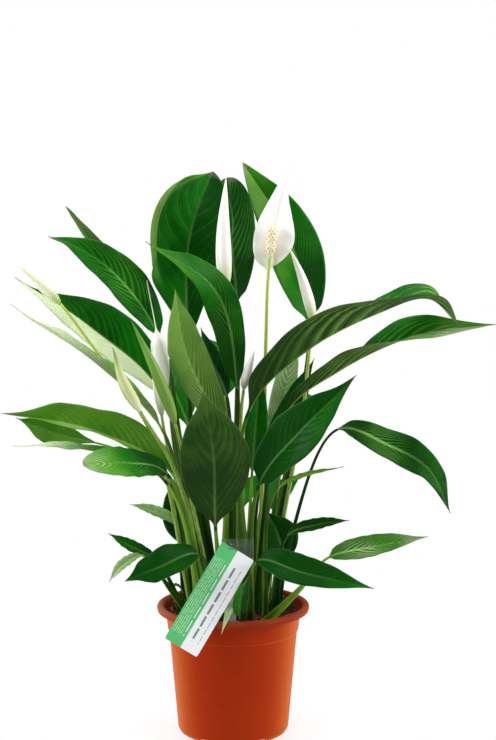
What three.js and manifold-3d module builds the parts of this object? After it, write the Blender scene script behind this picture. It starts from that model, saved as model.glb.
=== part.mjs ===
// A peace lily in a terracotta-coloured nursery pot: pot, soil, leaves on their stalks,
// flowers and a plant label.
// Millimetres, +Z up, origin at the centre of the pot's foot. -Y is the side that the label hangs on.
import * as THREE from "three";
import Module from "manifold-3d";
import { mergeVertices } from "three/addons/utils/BufferGeometryUtils.js";

const wasm = await Module();
wasm.setup();

// Driving dimensions
const pot = {
  sides: 36,
  lipSteps: 4,
  wall: 1.4,
  baseRadius: 45.6,
  footRadius: 47.4,
  footHeight: 3.5,
  stepRadius: 54.7,
  stepHeight: 87,
  stepWidth: 0.9,
  collarRadius: 57.6,
  collarTop: 102.8,
  lipDrop: 2.6,
  rimRadius: 65,
  mouthRadius: 58.6,
  height: 110,
};
const drain = {
  discRadius: 22,
  slope: 2,
  channelRadius: 40.5,
  channelHeight: 3,
  floor: 1.8,
  holes: 8,
  holeRadius: 3.5,
  drill: 12,
};
const notch = { count: 6, halfWidth: 6.5, height: 3, depth: 14 };
const soil = { top: 103, gap: 0.6, unevenness: 1.1, rings: 4, sides: 24 };
const socket = { sides: 6, gap: 0.3, above: 5 };
const stalk = { depth: 10, footRadius: 2.6, neckRadius: 1.5, steps: 5, small: 0.75, thin: 0.5 };
const blade = {
  thickness: 0.9,
  tipRadius: 0.45,
  fold: 22,
  unfold: 0.4,
  belly: 0.78,
  fullness: 0.95,
  tipFrom: 0.72,
  tipSlim: 0.45,
  flatFrom: 0.1,
  rib: 1.2,
  wave: 1.1,
  waves: 17,
  turnFrom: 0.25,
  turnOver: 0.5,
  broadFrom: 37,
  stops: [0, 0.04, 0.11, 0.2, 0.31, 0.43, 0.55, 0.67, 0.79, 0.9, 1],
  smallStops: [0, 0.05, 0.14, 0.28, 0.44, 0.6, 0.76, 0.9, 1],
};
const flowerStem = { footRadius: 2, neckRadius: 1.2, sides: 8, steps: 6, gap: 0.35, stipe: 13 };
const bud = {
  belly: 0.56,
  fullness: 0.85,
  tipRadius: 0.4,
  tailFrom: 1,
  tailOver: 0.06,
  stops: [0, 0.06, 0.17, 0.32, 0.5, 0.68, 0.85, 1],
};
const spathe = {
  face: [-0.15, -1, 0.1],
  fold: 16,
  footRadius: 1,
  behind: 3.9,
  belly: 0.6,
  fullness: 1,
  tipSlim: 0,
  shares: [0.91, 1],
  rightForm: { belly: 0.64, fullness: 2.1 },
  stops: [0, 0.05, 0.1, 0.18, 0.28, 0.4, 0.52, 0.64, 0.75, 0.84, 0.92, 1],
};
const spadix = {
  radius: 4.3,
  length: 27,
  seat: 0.65,
  footShare: 0.45,
  swell: 2.2,
  roundFrom: 0.75,
  roundOver: 0.262,
  around: 14,
  rows: 20,
  floret: 0.55,
  tilt: [0.05, -0.05, 1],
};
const label = { width: 30.5, length: 91, thickness: 0.7, topCentre: [4.6, -52.5, 167], tilt: 31.5, lean: 11 };
const stake = { x: 0, y: -50.2, width: 5.6, thickness: 1.3, top: 176.5 };
const stakeHead = { left: -9, right: 17.5, bottom: 156 };
const clip = { width: 4.6, bridgeHeight: 3, drop: 8, thickness: 1, reach: 3.4 };

const finishes = {
  pot: { color: 0xa83c14, roughness: 0.42 },
  soil: { color: 0x38241a, roughness: 0.95 },
  leaf: { color: 0x1c5a1a, roughness: 0.35 },
  youngLeaf: { color: 0x6c9a34, roughness: 0.4 },
  stem: { color: 0x76a03c, roughness: 0.4 },
  spathe: { color: 0xf2f2ea, roughness: 0.5 },
  spadix: { color: 0xe2c88e, roughness: 0.7 },
  label: { color: 0x56b872, roughness: 0.4 },
  stake: { color: 0xe4eaea, roughness: 0.15 },
};

// Each leaf's midrib runs from its foot in the soil through the bends of its stalk
// and then along the blade.
// `face` is roughly where the upper side looks, and `turn` twists the blade by that angle at its tip.
// `shares` widens or narrows the left and right half. belly, fullness and tipSlim shape the outline,
// and `rightForm` holds those of a right half that differs.
const leaves = [
  // the tall leaves at the rear
  { name: "leaf_rear_tall_left", foot: [-13, 17], stalk: [[-34, 24, 230]],
    blade: [[-39, 30, 328], [-38, 45, 418], [-18, 75, 477]], width: 74, face: [0.15, -1, 0.1], fold: 16,
    belly: 1.2, fullness: 1.1, tipSlim: 0, rightForm: { belly: 1.3, fullness: 0.75 } },
  { name: "leaf_rear_tall_middle", foot: [2, 28], stalk: [[3, 55, 240]],
    blade: [[3, 75, 360], [-2, 72, 417], [-4, 88, 472]], width: 46, face: [-0.1, -1, 0.1],
    belly: 1.25, fullness: 0.5, tipSlim: 0 },
  { name: "leaf_rear_tall_right", foot: [22, 25], stalk: [[52, 50, 240]],
    blade: [[66, 60, 343], [48, 85, 421], [8, 95, 485]], width: 50, face: [0.1, -1, 0.15],
    fullness: 0.82, tipSlim: 0.1 },
  // the left side, from the top down
  { name: "leaf_left_high_broad", foot: [-23, 8], stalk: [[-45, 16, 240]],
    blade: [[-62, 24, 333], [-103, 24, 392], [-154, 18, 426]], width: 38, face: [0.3, -0.8, 0.5] },
  { name: "leaf_left_high_narrow", foot: [-22, 27], stalk: [[-50, 43, 230]],
    blade: [[-66, 50, 339], [-104, 58, 389], [-144, 45, 447]], width: 22, face: [0.4, -0.6, 0.7],
    fullness: 0.7, tipSlim: 0.1 },
  { name: "leaf_left_mid_folded", foot: [-33, -1], stalk: [],
    blade: [[-57, -3, 285], [-120, 0, 347], [-180, -15, 389]], width: 50, face: [0.1, -0.75, 0.65],
    shares: [0.75, 1.1], rightForm: { tipFrom: 0.45, tipSlim: 0.95 } },
  { name: "leaf_left_mid_long", foot: [-28, -10], stalk: [[-45, -22, 215]],
    blade: [[-58, -30, 264], [-114, -46, 324], [-178, -56, 367]],
    width: 26, face: [0.3, -0.1, 0.95], fold: 45, shares: [0.75, 0.9] },
  { name: "leaf_left_low_broad", foot: [-28, -19], stalk: [],
    blade: [[-47, -35, 224], [-114, -50, 267], [-186, -60, 282]], width: 46, face: [0, -0.6, 0.8], fold: 42,
    shares: [0.6, 0.95] },
  { name: "leaf_left_low_edge", foot: [-25, -28], stalk: [],
    blade: [[-55, -40, 222], [-117, -44, 251], [-179, -52, 254]], width: 24, face: [0, -0.1, 1], fold: 5 },
  { name: "leaf_left_low_rear", foot: [-40, 6], stalk: [[-47, 6, 180], [-62, 0, 225]], small: true,
    blade: [[-107, -8, 247], [-143, -19, 258], [-179, -30, 274]], width: 28, face: [0, -0.8, 0.6] },
  { name: "leaf_left_low_forward", foot: [-17, -33], stalk: [],
    blade: [[-52, -60, 231], [-82, -94, 247], [-114, -124, 250]],
    width: 36, face: [-0.2, -0.75, 0.65], fold: 12, belly: 1.05, fullness: 0.5, tipSlim: 0 },
  { name: "leaf_left_small_rear", foot: [-36, 10], stalk: [], small: true,
    blade: [[-44, 14, 171], [-68, 17, 186], [-89, 18, 192]], width: 12, face: [0, -0.6, 0.8] },
  { name: "leaf_left_small_outer", foot: [-42, -16], stalk: [], small: true,
    blade: [[-62, -30, 152], [-85, -35, 167], [-103, -35, 178]], width: 13, face: [0, -0.6, 0.8] },
  { name: "leaf_left_small_front", foot: [-10, -37], stalk: [], small: true,
    blade: [[-27, -50, 163], [-60, -74, 158], [-86, -86, 150]], width: 30, face: [0, -0.75, 0.65] },
  { name: "leaf_left_small_pale", foot: [-36, -27], stalk: [[-52, -36, 130]], small: true,
    blade: [[-74, -48, 162], [-90, -55, 156], [-101, -60, 143]], width: 10, face: [0, -0.6, 0.8] },
  { name: "leaf_left_rim_curl", foot: [-42, 1], stalk: [], small: true, thin: true,
    blade: [[-43, 3, 118], [-48, 0, 125], [-57, -5, 124]], width: 6, face: [0, -0.3, 1] },
  // the middle
  { name: "leaf_middle_young", foot: [-9, -7], stalk: [],
    blade: [[-9, -21, 252], [-38, -30, 328], [-47, -30, 380]], width: 37, face: [0.3, 0.9, 0.2] },
  { name: "leaf_middle_arching", foot: [3, 0], stalk: [],
    blade: [[4, -5, 292], [-13, -25, 377], [-69, -60, 420]], width: 31, face: [-0.3, -0.7, 0.6],
    fullness: 0.8, tipSlim: 0.75 },
  { name: "leaf_middle_narrow", foot: [-5, 6], stalk: [],
    blade: [[-5, 8, 285], [-17, 5, 316], [-27, 0, 346]], width: 19, face: [0, -1, 0.2] },
  { name: "leaf_front_upright", foot: [-7, -27], stalk: [],
    blade: [[-14, -47, 185], [-15, -74, 250], [-23, -84, 303]], width: 60, face: [0, 0.9, 0.4] },
  // the right side, from the top down
  { name: "leaf_right_high_arching", foot: [13, -15], stalk: [],
    blade: [[12, -30, 276], [54, -40, 326], [117, -51, 362], [158, -55, 374], [181, -56, 354]],
    width: 54, face: [-0.3, 0.55, 0.75], turn: 48, fold: 38 },
  { name: "leaf_right_high_long", foot: [22, -3], stalk: [],
    blade: [[43, 0, 271], [88, -8, 310], [152, -17, 341], [218, -25, 351]],
    width: 50, face: [-0.3, 0.55, 0.75], turn: 118, turnFrom: 0.36, fold: 46, shares: [1, 0.5] },
  { name: "leaf_right_mid_front", foot: [13, -27], stalk: [],
    blade: [[21, -48, 219], [54, -75, 269], [96, -70, 310]], width: 45, face: [-0.2, -0.8, 0.55] },
  { name: "leaf_right_mid_drooping", foot: [31, -7], stalk: [],
    blade: [[86, -20, 262], [129, -38, 252], [161, -52, 234], [177, -60, 200]],
    width: 27, face: [0.1, -0.9, 0.4], fold: 8 },
  { name: "leaf_right_young_thread", foot: [27, -16], stalk: [[29, -20, 190]], small: true, thin: true,
    blade: [[38, -22, 213], [58, -28, 225], [92, -35, 234]], width: 6, face: [0, -0.6, 0.8] },
  { name: "leaf_right_small_upper", foot: [35, -14], stalk: [], small: true,
    blade: [[45, -18, 171], [71, -25, 183], [97, -30, 188]], width: 14, face: [0, -0.6, 0.8] },
  { name: "leaf_right_small_outer", foot: [30, -34], stalk: [[56, -40, 132]], small: true,
    blade: [[78, -45, 159], [114, -60, 172], [157, -75, 184]], width: 22, face: [0, -0.75, 0.65] },
  { name: "leaf_right_small_front", foot: [14, -37], stalk: [], small: true,
    blade: [[20, -60, 160], [58, -84, 156], [113, -94, 146]], width: 30, face: [0, -0.7, 0.7] },
  // young leaves low in the middle
  { name: "leaf_inner_left_low", foot: [-30, 22], stalk: [], small: true,
    blade: [[-38, 25, 152], [-47, 28, 184], [-53, 28, 213]], width: 34, face: [0, -1, 0.2] },
  { name: "leaf_inner_right_low", foot: [37, 6], stalk: [], small: true,
    blade: [[44, 9, 145], [38, 13, 168], [30, 14, 186]], width: 34, face: [0, -1, 0.2] },
  { name: "leaf_inner_pale", foot: [14, 34], stalk: [], small: true,
    blade: [[32, 37, 236], [45, 45, 292], [56, 48, 336]], width: 22, face: [0, -1, 0.2] },
  { name: "leaf_inner_dark", foot: [12, 17], stalk: [], small: true,
    blade: [[26, 26, 220], [49, 36, 271], [70, 38, 316]], width: 24, face: [0, -1, 0.2] },
  { name: "leaf_inner_bright", foot: [11, -3], stalk: [], small: true,
    blade: [[16, -5, 222], [20, 0, 268], [24, 0, 309]], width: 20, face: [0, -1, 0.2] },
  { name: "leaf_front_young_upright", foot: [8, -50], stalk: [], small: true, thin: true,
    blade: [[6, -54, 111], [7, -57, 129], [13, -58, 147]], width: 13, face: [0, -1, 0.1] },
  { name: "leaf_front_over_rim", foot: [-7, -45], stalk: [], small: true, thin: true,
    blade: [[-7, -50, 115], [-3, -59, 119.5], [-9, -73, 103]], width: 7, face: [0, -0.7, 0.7] },
  // the rear, out of the photograph's sight
  { name: "leaf_back_left_high", foot: [-13, 30], stalk: [],
    blade: [[-40, 72, 250], [-70, 115, 300], [-95, 145, 300]], width: 44, face: [-0.3, 0.4, 0.8] },
  { name: "leaf_back_middle_high", foot: [-4, 38], stalk: [],
    blade: [[-10, 88, 270], [-15, 135, 320], [-20, 185, 300]], width: 48, face: [0, 0.4, 0.8] },
  { name: "leaf_back_right_high", foot: [25, 35], stalk: [],
    blade: [[45, 80, 225], [66, 125, 268], [86, 168, 262]], width: 44, face: [0.3, 0.4, 0.8] },
  { name: "leaf_back_middle_low", foot: [5, 44], stalk: [], small: true,
    blade: [[8, 80, 175], [9, 120, 195], [10, 160, 180]], width: 34, face: [0, 0.4, 0.8] },
  { name: "leaf_back_right_low", foot: [30, 42], stalk: [], small: true,
    blade: [[38, 70, 170], [46, 110, 195], [50, 150, 180]], width: 30, face: [0, 0.4, 0.8] },
];

// Each flower's line runs from its foot up its stem to the spathe's base, and on to the spathe's tip.
const flowers = [
  { name: "flower_open", foot: [19, 13], stem: [[25, 16, 213], [28, 16, 338]],
    spathe: [[30, 16, 391], [37, 23, 433], [49, 33, 483]], width: 38, open: true },
  { name: "flower_tall_bud", foot: [-3, 17], stem: [[-6, 19, 260]],
    spathe: [[-7, 20, 377], [-8, 20, 427], [-6, 22, 471]], width: 14, belly: 0.5 },
  { name: "flower_right_bud", foot: [33, 20], stem: [[44, 25, 181], [59, 27, 264], [66, 32, 330]],
    spathe: [[68, 35, 350], [60, 40, 383], [48, 42, 412]], width: 10, belly: 0.5 },
  { name: "flower_middle_bud", foot: [4, -11], stem: [[5, -16, 220]],
    spathe: [[9, -21, 296], [13, -21, 313], [18, -20, 328]], width: 8 },
  { name: "flower_left_long_bud", foot: [-35, -9], stem: [[-62, -13, 243], [-88, -24, 296], [-109, -30, 325]],
    spathe: [[-141, -30, 368], [-158, -32, 385], [-174, -34, 399]], width: 9 },
  { name: "flower_left_green_bud", foot: [-20, -26], stem: [[-45, -49, 228]],
    spathe: [[-74, -60, 283], [-87, -66, 308], [-95, -70, 336]], width: 10 },
  { name: "flower_left_grey_bud", foot: [-18, -2], stem: [],
    spathe: [[-59, -15, 271], [-60, -16, 321], [-71, -14, 386]], width: 15,
    belly: 0.8, fullness: 0.8, tailFrom: 0.6, tailOver: 0.12 },
  { name: "flower_left_rolled_bud", foot: [-14, -17], stem: [[-31, -36, 191]],
    spathe: [[-47, -43, 271], [-61, -50, 312], [-81, -55, 356]], width: 10.5, rolled: true },
];

const group = new THREE.Group();
const vec = (p) => new THREE.Vector3(...p);
const { lerp, degToRad } = THREE.MathUtils;

function smooth(t) {
  const x = Math.min(1, Math.max(0, t));
  return x * x * (3 - 2 * x);
}

function place(name, geometry, finish) {
  const material = new THREE.MeshStandardMaterial({ ...finishes[finish], metalness: 0 });
  const mesh = new THREE.Mesh(geometry, material);
  mesh.name = name;
  group.add(mesh);
}

// Solids for cutting and joining
function solidOf(geometry) {
  const bare = geometry.clone();
  bare.deleteAttribute("normal");
  bare.deleteAttribute("uv");
  const merged = mergeVertices(bare, 1e-3);
  const triVerts = new Uint32Array(merged.index.array);
  return new wasm.Manifold(
    new wasm.Mesh({ numProp: 3, vertProperties: merged.attributes.position.array, triVerts }),
  );
}

function geometryOf(solid) {
  const mesh = solid.getMesh();
  const geometry = new THREE.BufferGeometry();
  geometry.setAttribute("position", new THREE.BufferAttribute(new Float32Array(mesh.vertProperties), 3));
  geometry.setIndex(new THREE.BufferAttribute(new Uint32Array(mesh.triVerts), 1));
  return geometry;
}

// A profile of [radius, height] turned about Z
function turned(profile, sides) {
  const points = profile.map(([radius, height]) => new THREE.Vector2(radius, height));
  return new THREE.LatheGeometry(points, sides).rotateX(Math.PI / 2);
}

// A closed skin over rings of equal count. Points from `half` on are a blade's lower face,
// whose diagonals run the other way, so that both of its faces split alike.
function skin(rings, half = rings[0].length) {
  const count = rings[0].length;
  const faces = [];
  for (let i = 0; i + 1 < rings.length; i++)
    for (let j = 0; j < count; j++) {
      const a = i * count + j;
      const b = i * count + ((j + 1) % count);
      const [c, d] = [b + count, a + count];
      if (j < half) faces.push(a, b, c, a, c, d);
      else faces.push(a, b, d, b, c, d);
    }
  const last = (rings.length - 1) * count;
  for (let j = 1; j + 1 < count; j++) {
    faces.push(0, j + 1, j);
    faces.push(last, last + j, last + j + 1);
  }
  const points = new Float32Array(rings.flat().flatMap((p) => p.toArray()));
  const geometry = new THREE.BufferGeometry();
  geometry.setAttribute("position", new THREE.BufferAttribute(points, 3));
  geometry.setIndex(faces);
  return geometry;
}

// A line through the foot at the soil, the bends of the stalk and the points of the blade or spathe
function spineOf(foot, stalkPoints, endPoints) {
  const start = vec([...foot, soil.top]);
  const curve = new THREE.CatmullRomCurve3([start, ...[...stalkPoints, ...endPoints].map(vec)]);
  const neck = (1 + stalkPoints.length) / (stalkPoints.length + endPoints.length);
  const heading = curve.getTangent(0);
  const root = start.clone().addScaledVector(heading, -stalk.depth / heading.z);
  return { curve, neck, start, heading, root };
}

// Cross directions at a point of a line: `out` is square to it on the side that `face` gives.
function crossAxes(tangent, face, turn = 0) {
  const out = face.clone().addScaledVector(tangent, -face.dot(tangent)).normalize();
  out.applyAxisAngle(tangent, degToRad(turn));
  return { out, side: new THREE.Vector3().crossVectors(tangent, out) };
}

// A blade's share of its full width along its length, from its neck to its drip tip
function bladeOutline(t, leaf) {
  const { belly, fullness, tipFrom, tipSlim } = { ...blade, ...leaf };
  const slim = tipSlim * smooth((t - tipFrom) / (1 - tipFrom));
  return Math.sin(Math.PI * t ** belly) ** fullness * (1 - slim);
}

function stalkShare(leaf) {
  if (leaf.thin) return stalk.thin;
  return leaf.small ? stalk.small : 1;
}

// One ring of a leaf. It is round on the stalk (t = 0), and on the blade it is a thin folded section
// with a midrib below.
function leafRing(leaf, centre, tangent, radius, t) {
  const turn = (leaf.turn ?? 0) * smooth((t - (leaf.turnFrom ?? blade.turnFrom)) / blade.turnOver);
  const { out, side } = crossAxes(tangent, vec(leaf.face), turn);
  const across = leaf.width > blade.broadFrom ? 5 : 3;
  const [leftShare, rightShare] = leaf.shares ?? [1, 1];
  const right = { ...leaf, ...leaf.rightForm };
  const leftHalf = Math.max((leaf.width / 2) * leftShare * bladeOutline(t, leaf), radius);
  const rightHalf = Math.max((leaf.width / 2) * rightShare * bladeOutline(t, right), radius);
  const flat = smooth(t / blade.flatFrom);
  const lift = degToRad((leaf.fold ?? blade.fold) * (1 - blade.unfold * t));
  const point = (k, top) => {
    const share = (2 * k) / (across - 1) - 1;
    const half = share < 0 ? leftHalf : rightHalf;
    const angle = Math.PI * (1 - (k + 0.5) / across) * (top ? 1 : -1);
    const edge = share * share * Math.sin(Math.PI * t);
    const wave = leaf.small ? 0 : blade.wave * edge * Math.sin(t * blade.waves + (share > 0 ? 1.9 : 0));
    const rib = share === 0 && !top ? Math.max(0, blade.rib * radius - blade.thickness / 2) : 0;
    const face = (top ? 0.5 : -0.5) * blade.thickness;
    const height = Math.abs(share) * half * Math.sin(lift) + wave + face - rib;
    const x = lerp(radius * Math.cos(angle), share * half * Math.cos(lift), flat);
    const y = lerp(radius * Math.sin(angle), height, flat);
    return centre.clone().addScaledVector(side, x).addScaledVector(out, y);
  };
  const order = Array.from({ length: across }, (_, k) => k);
  return [...order.map((k) => point(k, true)), ...order.reverse().map((k) => point(k, false))];
}

// A leaf and its stalk as one closed skin
function leafGeometry(leaf) {
  const { curve, neck, root, heading } = spineOf(leaf.foot, leaf.stalk, leaf.blade);
  const [footRadius, neckRadius] = [stalk.footRadius, stalk.neckRadius].map((r) => r * stalkShare(leaf));
  const rings = [leafRing(leaf, root, heading, footRadius, 0)];
  for (let i = 0; i < stalk.steps; i++) {
    const t = i / stalk.steps;
    const radius = lerp(footRadius, neckRadius, Math.sqrt(t));
    rings.push(leafRing(leaf, curve.getPoint(t * neck), curve.getTangent(t * neck), radius, 0));
  }
  for (const t of leaf.small ? blade.smallStops : blade.stops) {
    const along = lerp(neck, 1, t);
    const radius = lerp(neckRadius, blade.tipRadius, Math.sqrt(t));
    rings.push(leafRing(leaf, curve.getPoint(along), curve.getTangent(along), radius, t));
  }
  return skin(rings, rings[0].length / 2);
}

// A round ring of points across a line
function roundRing(centre, tangent, radius, sides) {
  const { out, side } = crossAxes(tangent, new THREE.Vector3(0.1, -1, 0.05));
  return Array.from({ length: sides }, (_, j) => {
    const angle = (2 * Math.PI * j) / sides;
    const [across, ahead] = [radius * Math.cos(angle), radius * Math.sin(angle)];
    return centre.clone().addScaledVector(side, across).addScaledVector(out, ahead);
  }).reverse();
}

function stemRings({ curve, neck, root, heading }) {
  const rings = [roundRing(root, heading, flowerStem.footRadius, flowerStem.sides)];
  for (let i = 0; i <= flowerStem.steps; i++) {
    const t = i / flowerStem.steps;
    const radius = lerp(flowerStem.footRadius, flowerStem.neckRadius, t);
    rings.push(roundRing(curve.getPoint(t * neck), curve.getTangent(t * neck), radius, flowerStem.sides));
  }
  return rings;
}

// A rolled spathe: a slender spindle that tapers to a long point
function budRings({ curve, neck }, flower, gap) {
  const { width, belly, fullness, tailFrom, tailOver } = { ...bud, ...flower };
  const lift = curve.getTangent(neck).multiplyScalar(gap);
  return bud.stops.map((t) => {
    const along = lerp(neck, 1, t);
    const body = Math.sin(Math.PI * t ** belly) ** fullness * (1 - smooth((t - tailFrom) / tailOver));
    const swell = (width / 2) * body;
    const radius = Math.max(swell, lerp(flowerStem.neckRadius, bud.tipRadius, t));
    return roundRing(curve.getPoint(along).add(lift), curve.getTangent(along), radius, flowerStem.sides);
  });
}

function makePot() {
  const lipArc = Array.from({ length: pot.lipSteps + 1 }, (_, i) => {
    const angle = (Math.PI * i) / pot.lipSteps;
    const middle = (pot.rimRadius + pot.mouthRadius) / 2;
    const half = (pot.rimRadius - pot.mouthRadius) / 2;
    return [middle + half * Math.cos(angle), pot.height - pot.lipDrop * (1 - Math.sin(angle))];
  });
  const floorTop = drain.channelHeight + drain.floor;
  const profile = [
    [0, 0],
    [drain.discRadius, 0],
    [drain.discRadius + drain.slope, drain.channelHeight],
    [drain.channelRadius, drain.channelHeight],
    [drain.channelRadius + drain.slope, 0],
    [pot.baseRadius, 0],
    [pot.footRadius, pot.footHeight],
    [pot.stepRadius, pot.stepHeight],
    [pot.stepRadius + pot.stepWidth, pot.stepHeight + pot.stepWidth],
    [pot.collarRadius, pot.collarTop],
    [pot.collarRadius + 2, pot.collarTop + 1.5],
    [pot.rimRadius - 0.6, pot.collarTop + 1.5],
    ...lipArc,
    [pot.collarRadius - pot.wall, pot.collarTop],
    [pot.stepRadius - pot.wall, pot.stepHeight],
    [pot.footRadius - pot.wall, floorTop + 1],
    [pot.footRadius - pot.wall - 1.2, floorTop],
    [drain.discRadius + 1, floorTop],
    [drain.discRadius - 1, drain.floor],
    [0, drain.floor],
  ];
  let solid = solidOf(turned(profile, pot.sides));
  const holeCircle = (drain.discRadius + drain.slope + drain.channelRadius) / 2;
  for (let i = 0; i < drain.holes; i++) {
    const angle = (2 * Math.PI * (i + 0.5)) / drain.holes;
    const hole = new THREE.CylinderGeometry(drain.holeRadius, drain.holeRadius, drain.drill, 10);
    hole.rotateX(Math.PI / 2);
    hole.translate(holeCircle * Math.cos(angle), holeCircle * Math.sin(angle), drain.channelHeight);
    solid = solid.subtract(solidOf(hole));
  }
  for (let i = 0; i < notch.count; i++) {
    const cutter = new THREE.CylinderGeometry(notch.halfWidth, notch.halfWidth, notch.depth, 16);
    cutter.scale(1, 1, notch.height / notch.halfWidth).translate(0, pot.baseRadius, 0);
    cutter.rotateZ((2 * Math.PI * (i + 0.5)) / notch.count);
    solid = solid.subtract(solidOf(cutter));
  }
  place("pot", geometryOf(solid), "pot");
}

// Soil that fills the pot, a little uneven on top, with a plain socket for each stalk
function makeSoil() {
  const innerWall = (height) => {
    const t = (height - pot.stepHeight) / (pot.collarTop - pot.stepHeight);
    return lerp(pot.stepRadius, pot.collarRadius, t) - pot.wall - soil.gap;
  };
  const floorTop = drain.channelHeight + drain.floor + soil.gap;
  const edge = innerWall(soil.top);
  const profile = [
    [0, drain.floor + soil.gap],
    [drain.discRadius - 1 - soil.gap, drain.floor + soil.gap],
    [drain.discRadius + 1 - soil.gap, floorTop],
    [pot.footRadius - pot.wall - 1.2 - soil.gap, floorTop],
    [pot.footRadius - pot.wall - soil.gap, floorTop + 1],
    [innerWall(pot.stepHeight), pot.stepHeight],
    [edge, soil.top - 1],
  ];
  for (let i = 1; i < soil.rings; i++) profile.push([edge * (1 - i / soil.rings), soil.top]);
  profile.push([0, soil.top]);
  const body = turned(profile, soil.sides);
  const spots = body.attributes.position;
  for (let i = 0; i < spots.count; i++) {
    if (spots.getZ(i) < soil.top - 0.1) continue;
    const [x, y] = [spots.getX(i), spots.getY(i)];
    spots.setZ(i, soil.top + soil.unevenness * Math.sin(x * 0.21 + 1) * Math.cos(y * 0.17 - x * 0.05));
  }
  let solid = solidOf(body);
  for (const { root, start, heading, radius } of sockets) {
    const wide = (radius + socket.gap) / Math.cos(Math.PI / socket.sides);
    const below = root.clone().addScaledVector(heading, -socket.gap);
    const above = start.clone().addScaledVector(heading, socket.above);
    const rings = [below, above].map((end) => roundRing(end, heading, wide, socket.sides));
    solid = solid.subtract(solidOf(skin(rings)));
  }
  const [halfWidth, halfThickness] = [stake.width / 2 + socket.gap, stake.thickness / 2 + socket.gap];
  const slot = box(
    [stake.x - halfWidth, stake.y - halfThickness, soil.top - stalk.depth - socket.gap],
    [stake.x + halfWidth, stake.y + halfThickness, soil.top + socket.above],
  );
  place("soil", geometryOf(solid.subtract(solidOf(slot))), "soil");
}

// The open flower's spathe stands behind its stem like a blade, and the spadix stands on the stem's end.
function makeOpenFlower(flower, spine) {
  const { curve, neck } = spine;
  const stipeTop = curve.getPoint(neck).addScaledVector(curve.getTangent(neck), flowerStem.stipe);
  const stipeEnd = roundRing(stipeTop, curve.getTangent(neck), flowerStem.neckRadius, flowerStem.sides);
  place(`${flower.name}_stem`, skin([...stemRings(spine), stipeEnd]), "stem");
  const behind = new THREE.Vector3(0, spathe.behind, 0);
  const rings = spathe.stops.map((t) => {
    const along = lerp(neck, 1, t);
    const centre = curve.getPoint(along).add(behind);
    const radius = lerp(spathe.footRadius, blade.tipRadius, t);
    return leafRing({ ...spathe, ...flower }, centre, curve.getTangent(along), radius, t);
  });
  place(`${flower.name}_spathe`, skin(rings, rings[0].length / 2), "spathe");
  const axis = curve.getTangent(neck).add(vec(spadix.tilt)).normalize();
  const base = stipeTop.clone().addScaledVector(axis, spadix.seat);
  const rows = Array.from({ length: spadix.rows + 1 }, (_, i) => {
    const t = i / spadix.rows;
    const foot = Math.min(1, spadix.footShare + spadix.swell * t);
    const crown = Math.sqrt(1 - Math.max(0, (t - spadix.roundFrom) / spadix.roundOver) ** 2);
    const centre = base.clone().addScaledVector(axis, spadix.length * t);
    return { centre, radius: spadix.radius * foot * crown };
  });
  const florets = rows.map(({ centre, radius }, i) => {
    const { out, side } = crossAxes(axis, new THREE.Vector3(0, -1, 0));
    return Array.from({ length: spadix.around }, (_, j) => {
      const bump = (i + j) % 2 && i < spadix.rows ? spadix.floret : 0;
      const angle = (-2 * Math.PI * j) / spadix.around;
      const [across, ahead] = [(radius + bump) * Math.cos(angle), (radius + bump) * Math.sin(angle)];
      return centre.clone().addScaledVector(side, across).addScaledVector(out, ahead);
    });
  });
  place(`${flower.name}_spadix`, skin(florets), "spadix");
}

// The label leans on the pot's rim. The clip of a flat stake that stands in the soil holds its top edge.
function makeLabel() {
  const card = new THREE.BoxGeometry(label.width, label.thickness, label.length);
  card.translate(0, 0, -label.length / 2);
  card.rotateX(degToRad(-label.lean));
  card.rotateY(degToRad(label.tilt));
  card.translate(...label.topCentre);
  place("label", card, "label");
}

function box(from, to) {
  const size = to.map((value, i) => value - from[i]);
  return new THREE.BoxGeometry(...size).translate(...from.map((value, i) => value + size[i] / 2));
}

function makeStake() {
  const { x, y, width, thickness, top } = stake;
  const [back, front] = [y + thickness / 2, y - thickness / 2];
  const bottom = soil.top - stalk.depth;
  const [clipLeft, clipRight] = [x - clip.width / 2, x + clip.width / 2];
  const [clipFront, clipTop] = [front - clip.reach, top - 0.5];
  const pieces = [
    box([x - width / 2, front, bottom], [x + width / 2, back, top - 1]),
    box([stakeHead.left, front, stakeHead.bottom], [stakeHead.right, back, top]),
    box([clipLeft, clipFront, top - clip.bridgeHeight], [clipRight, y, clipTop]),
    box([clipLeft, clipFront, top - clip.drop], [clipRight, clipFront + clip.thickness, clipTop]),
  ];
  const solid = pieces.map(solidOf).reduce((whole, piece) => whole.add(piece));
  place("label_stake", geometryOf(solid), "stake");
}

// The lines and radii of all that stands in the soil
const sockets = [];

function makeLeaves() {
  for (const leaf of leaves) {
    place(leaf.name, leafGeometry(leaf), leaf.name.includes("young") ? "youngLeaf" : "leaf");
    const radius = stalk.footRadius * stalkShare(leaf);
    sockets.push({ ...spineOf(leaf.foot, leaf.stalk, leaf.blade), radius });
  }
}

function makeFlowers() {
  for (const flower of flowers) {
    const spine = spineOf(flower.foot, flower.stem, flower.spathe);
    sockets.push({ ...spine, radius: flowerStem.footRadius });
    if (flower.open) makeOpenFlower(flower, spine);
    else if (flower.rolled) {
      const rings = [...stemRings(spine), ...budRings(spine, flower, 0).slice(1)];
      place(flower.name, skin(rings), "stem");
    } else {
      place(`${flower.name}_stem`, skin(stemRings(spine)), "stem");
      place(`${flower.name}_spathe`, skin(budRings(spine, flower, flowerStem.gap)), "spathe");
    }
  }
}

makePot();
makeLeaves();
makeFlowers();
makeLabel();
makeStake();
makeSoil();

export default group;
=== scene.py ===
import math
import random

import bmesh
import bpy
import numpy as np
from mathutils import Matrix, Vector


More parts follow.
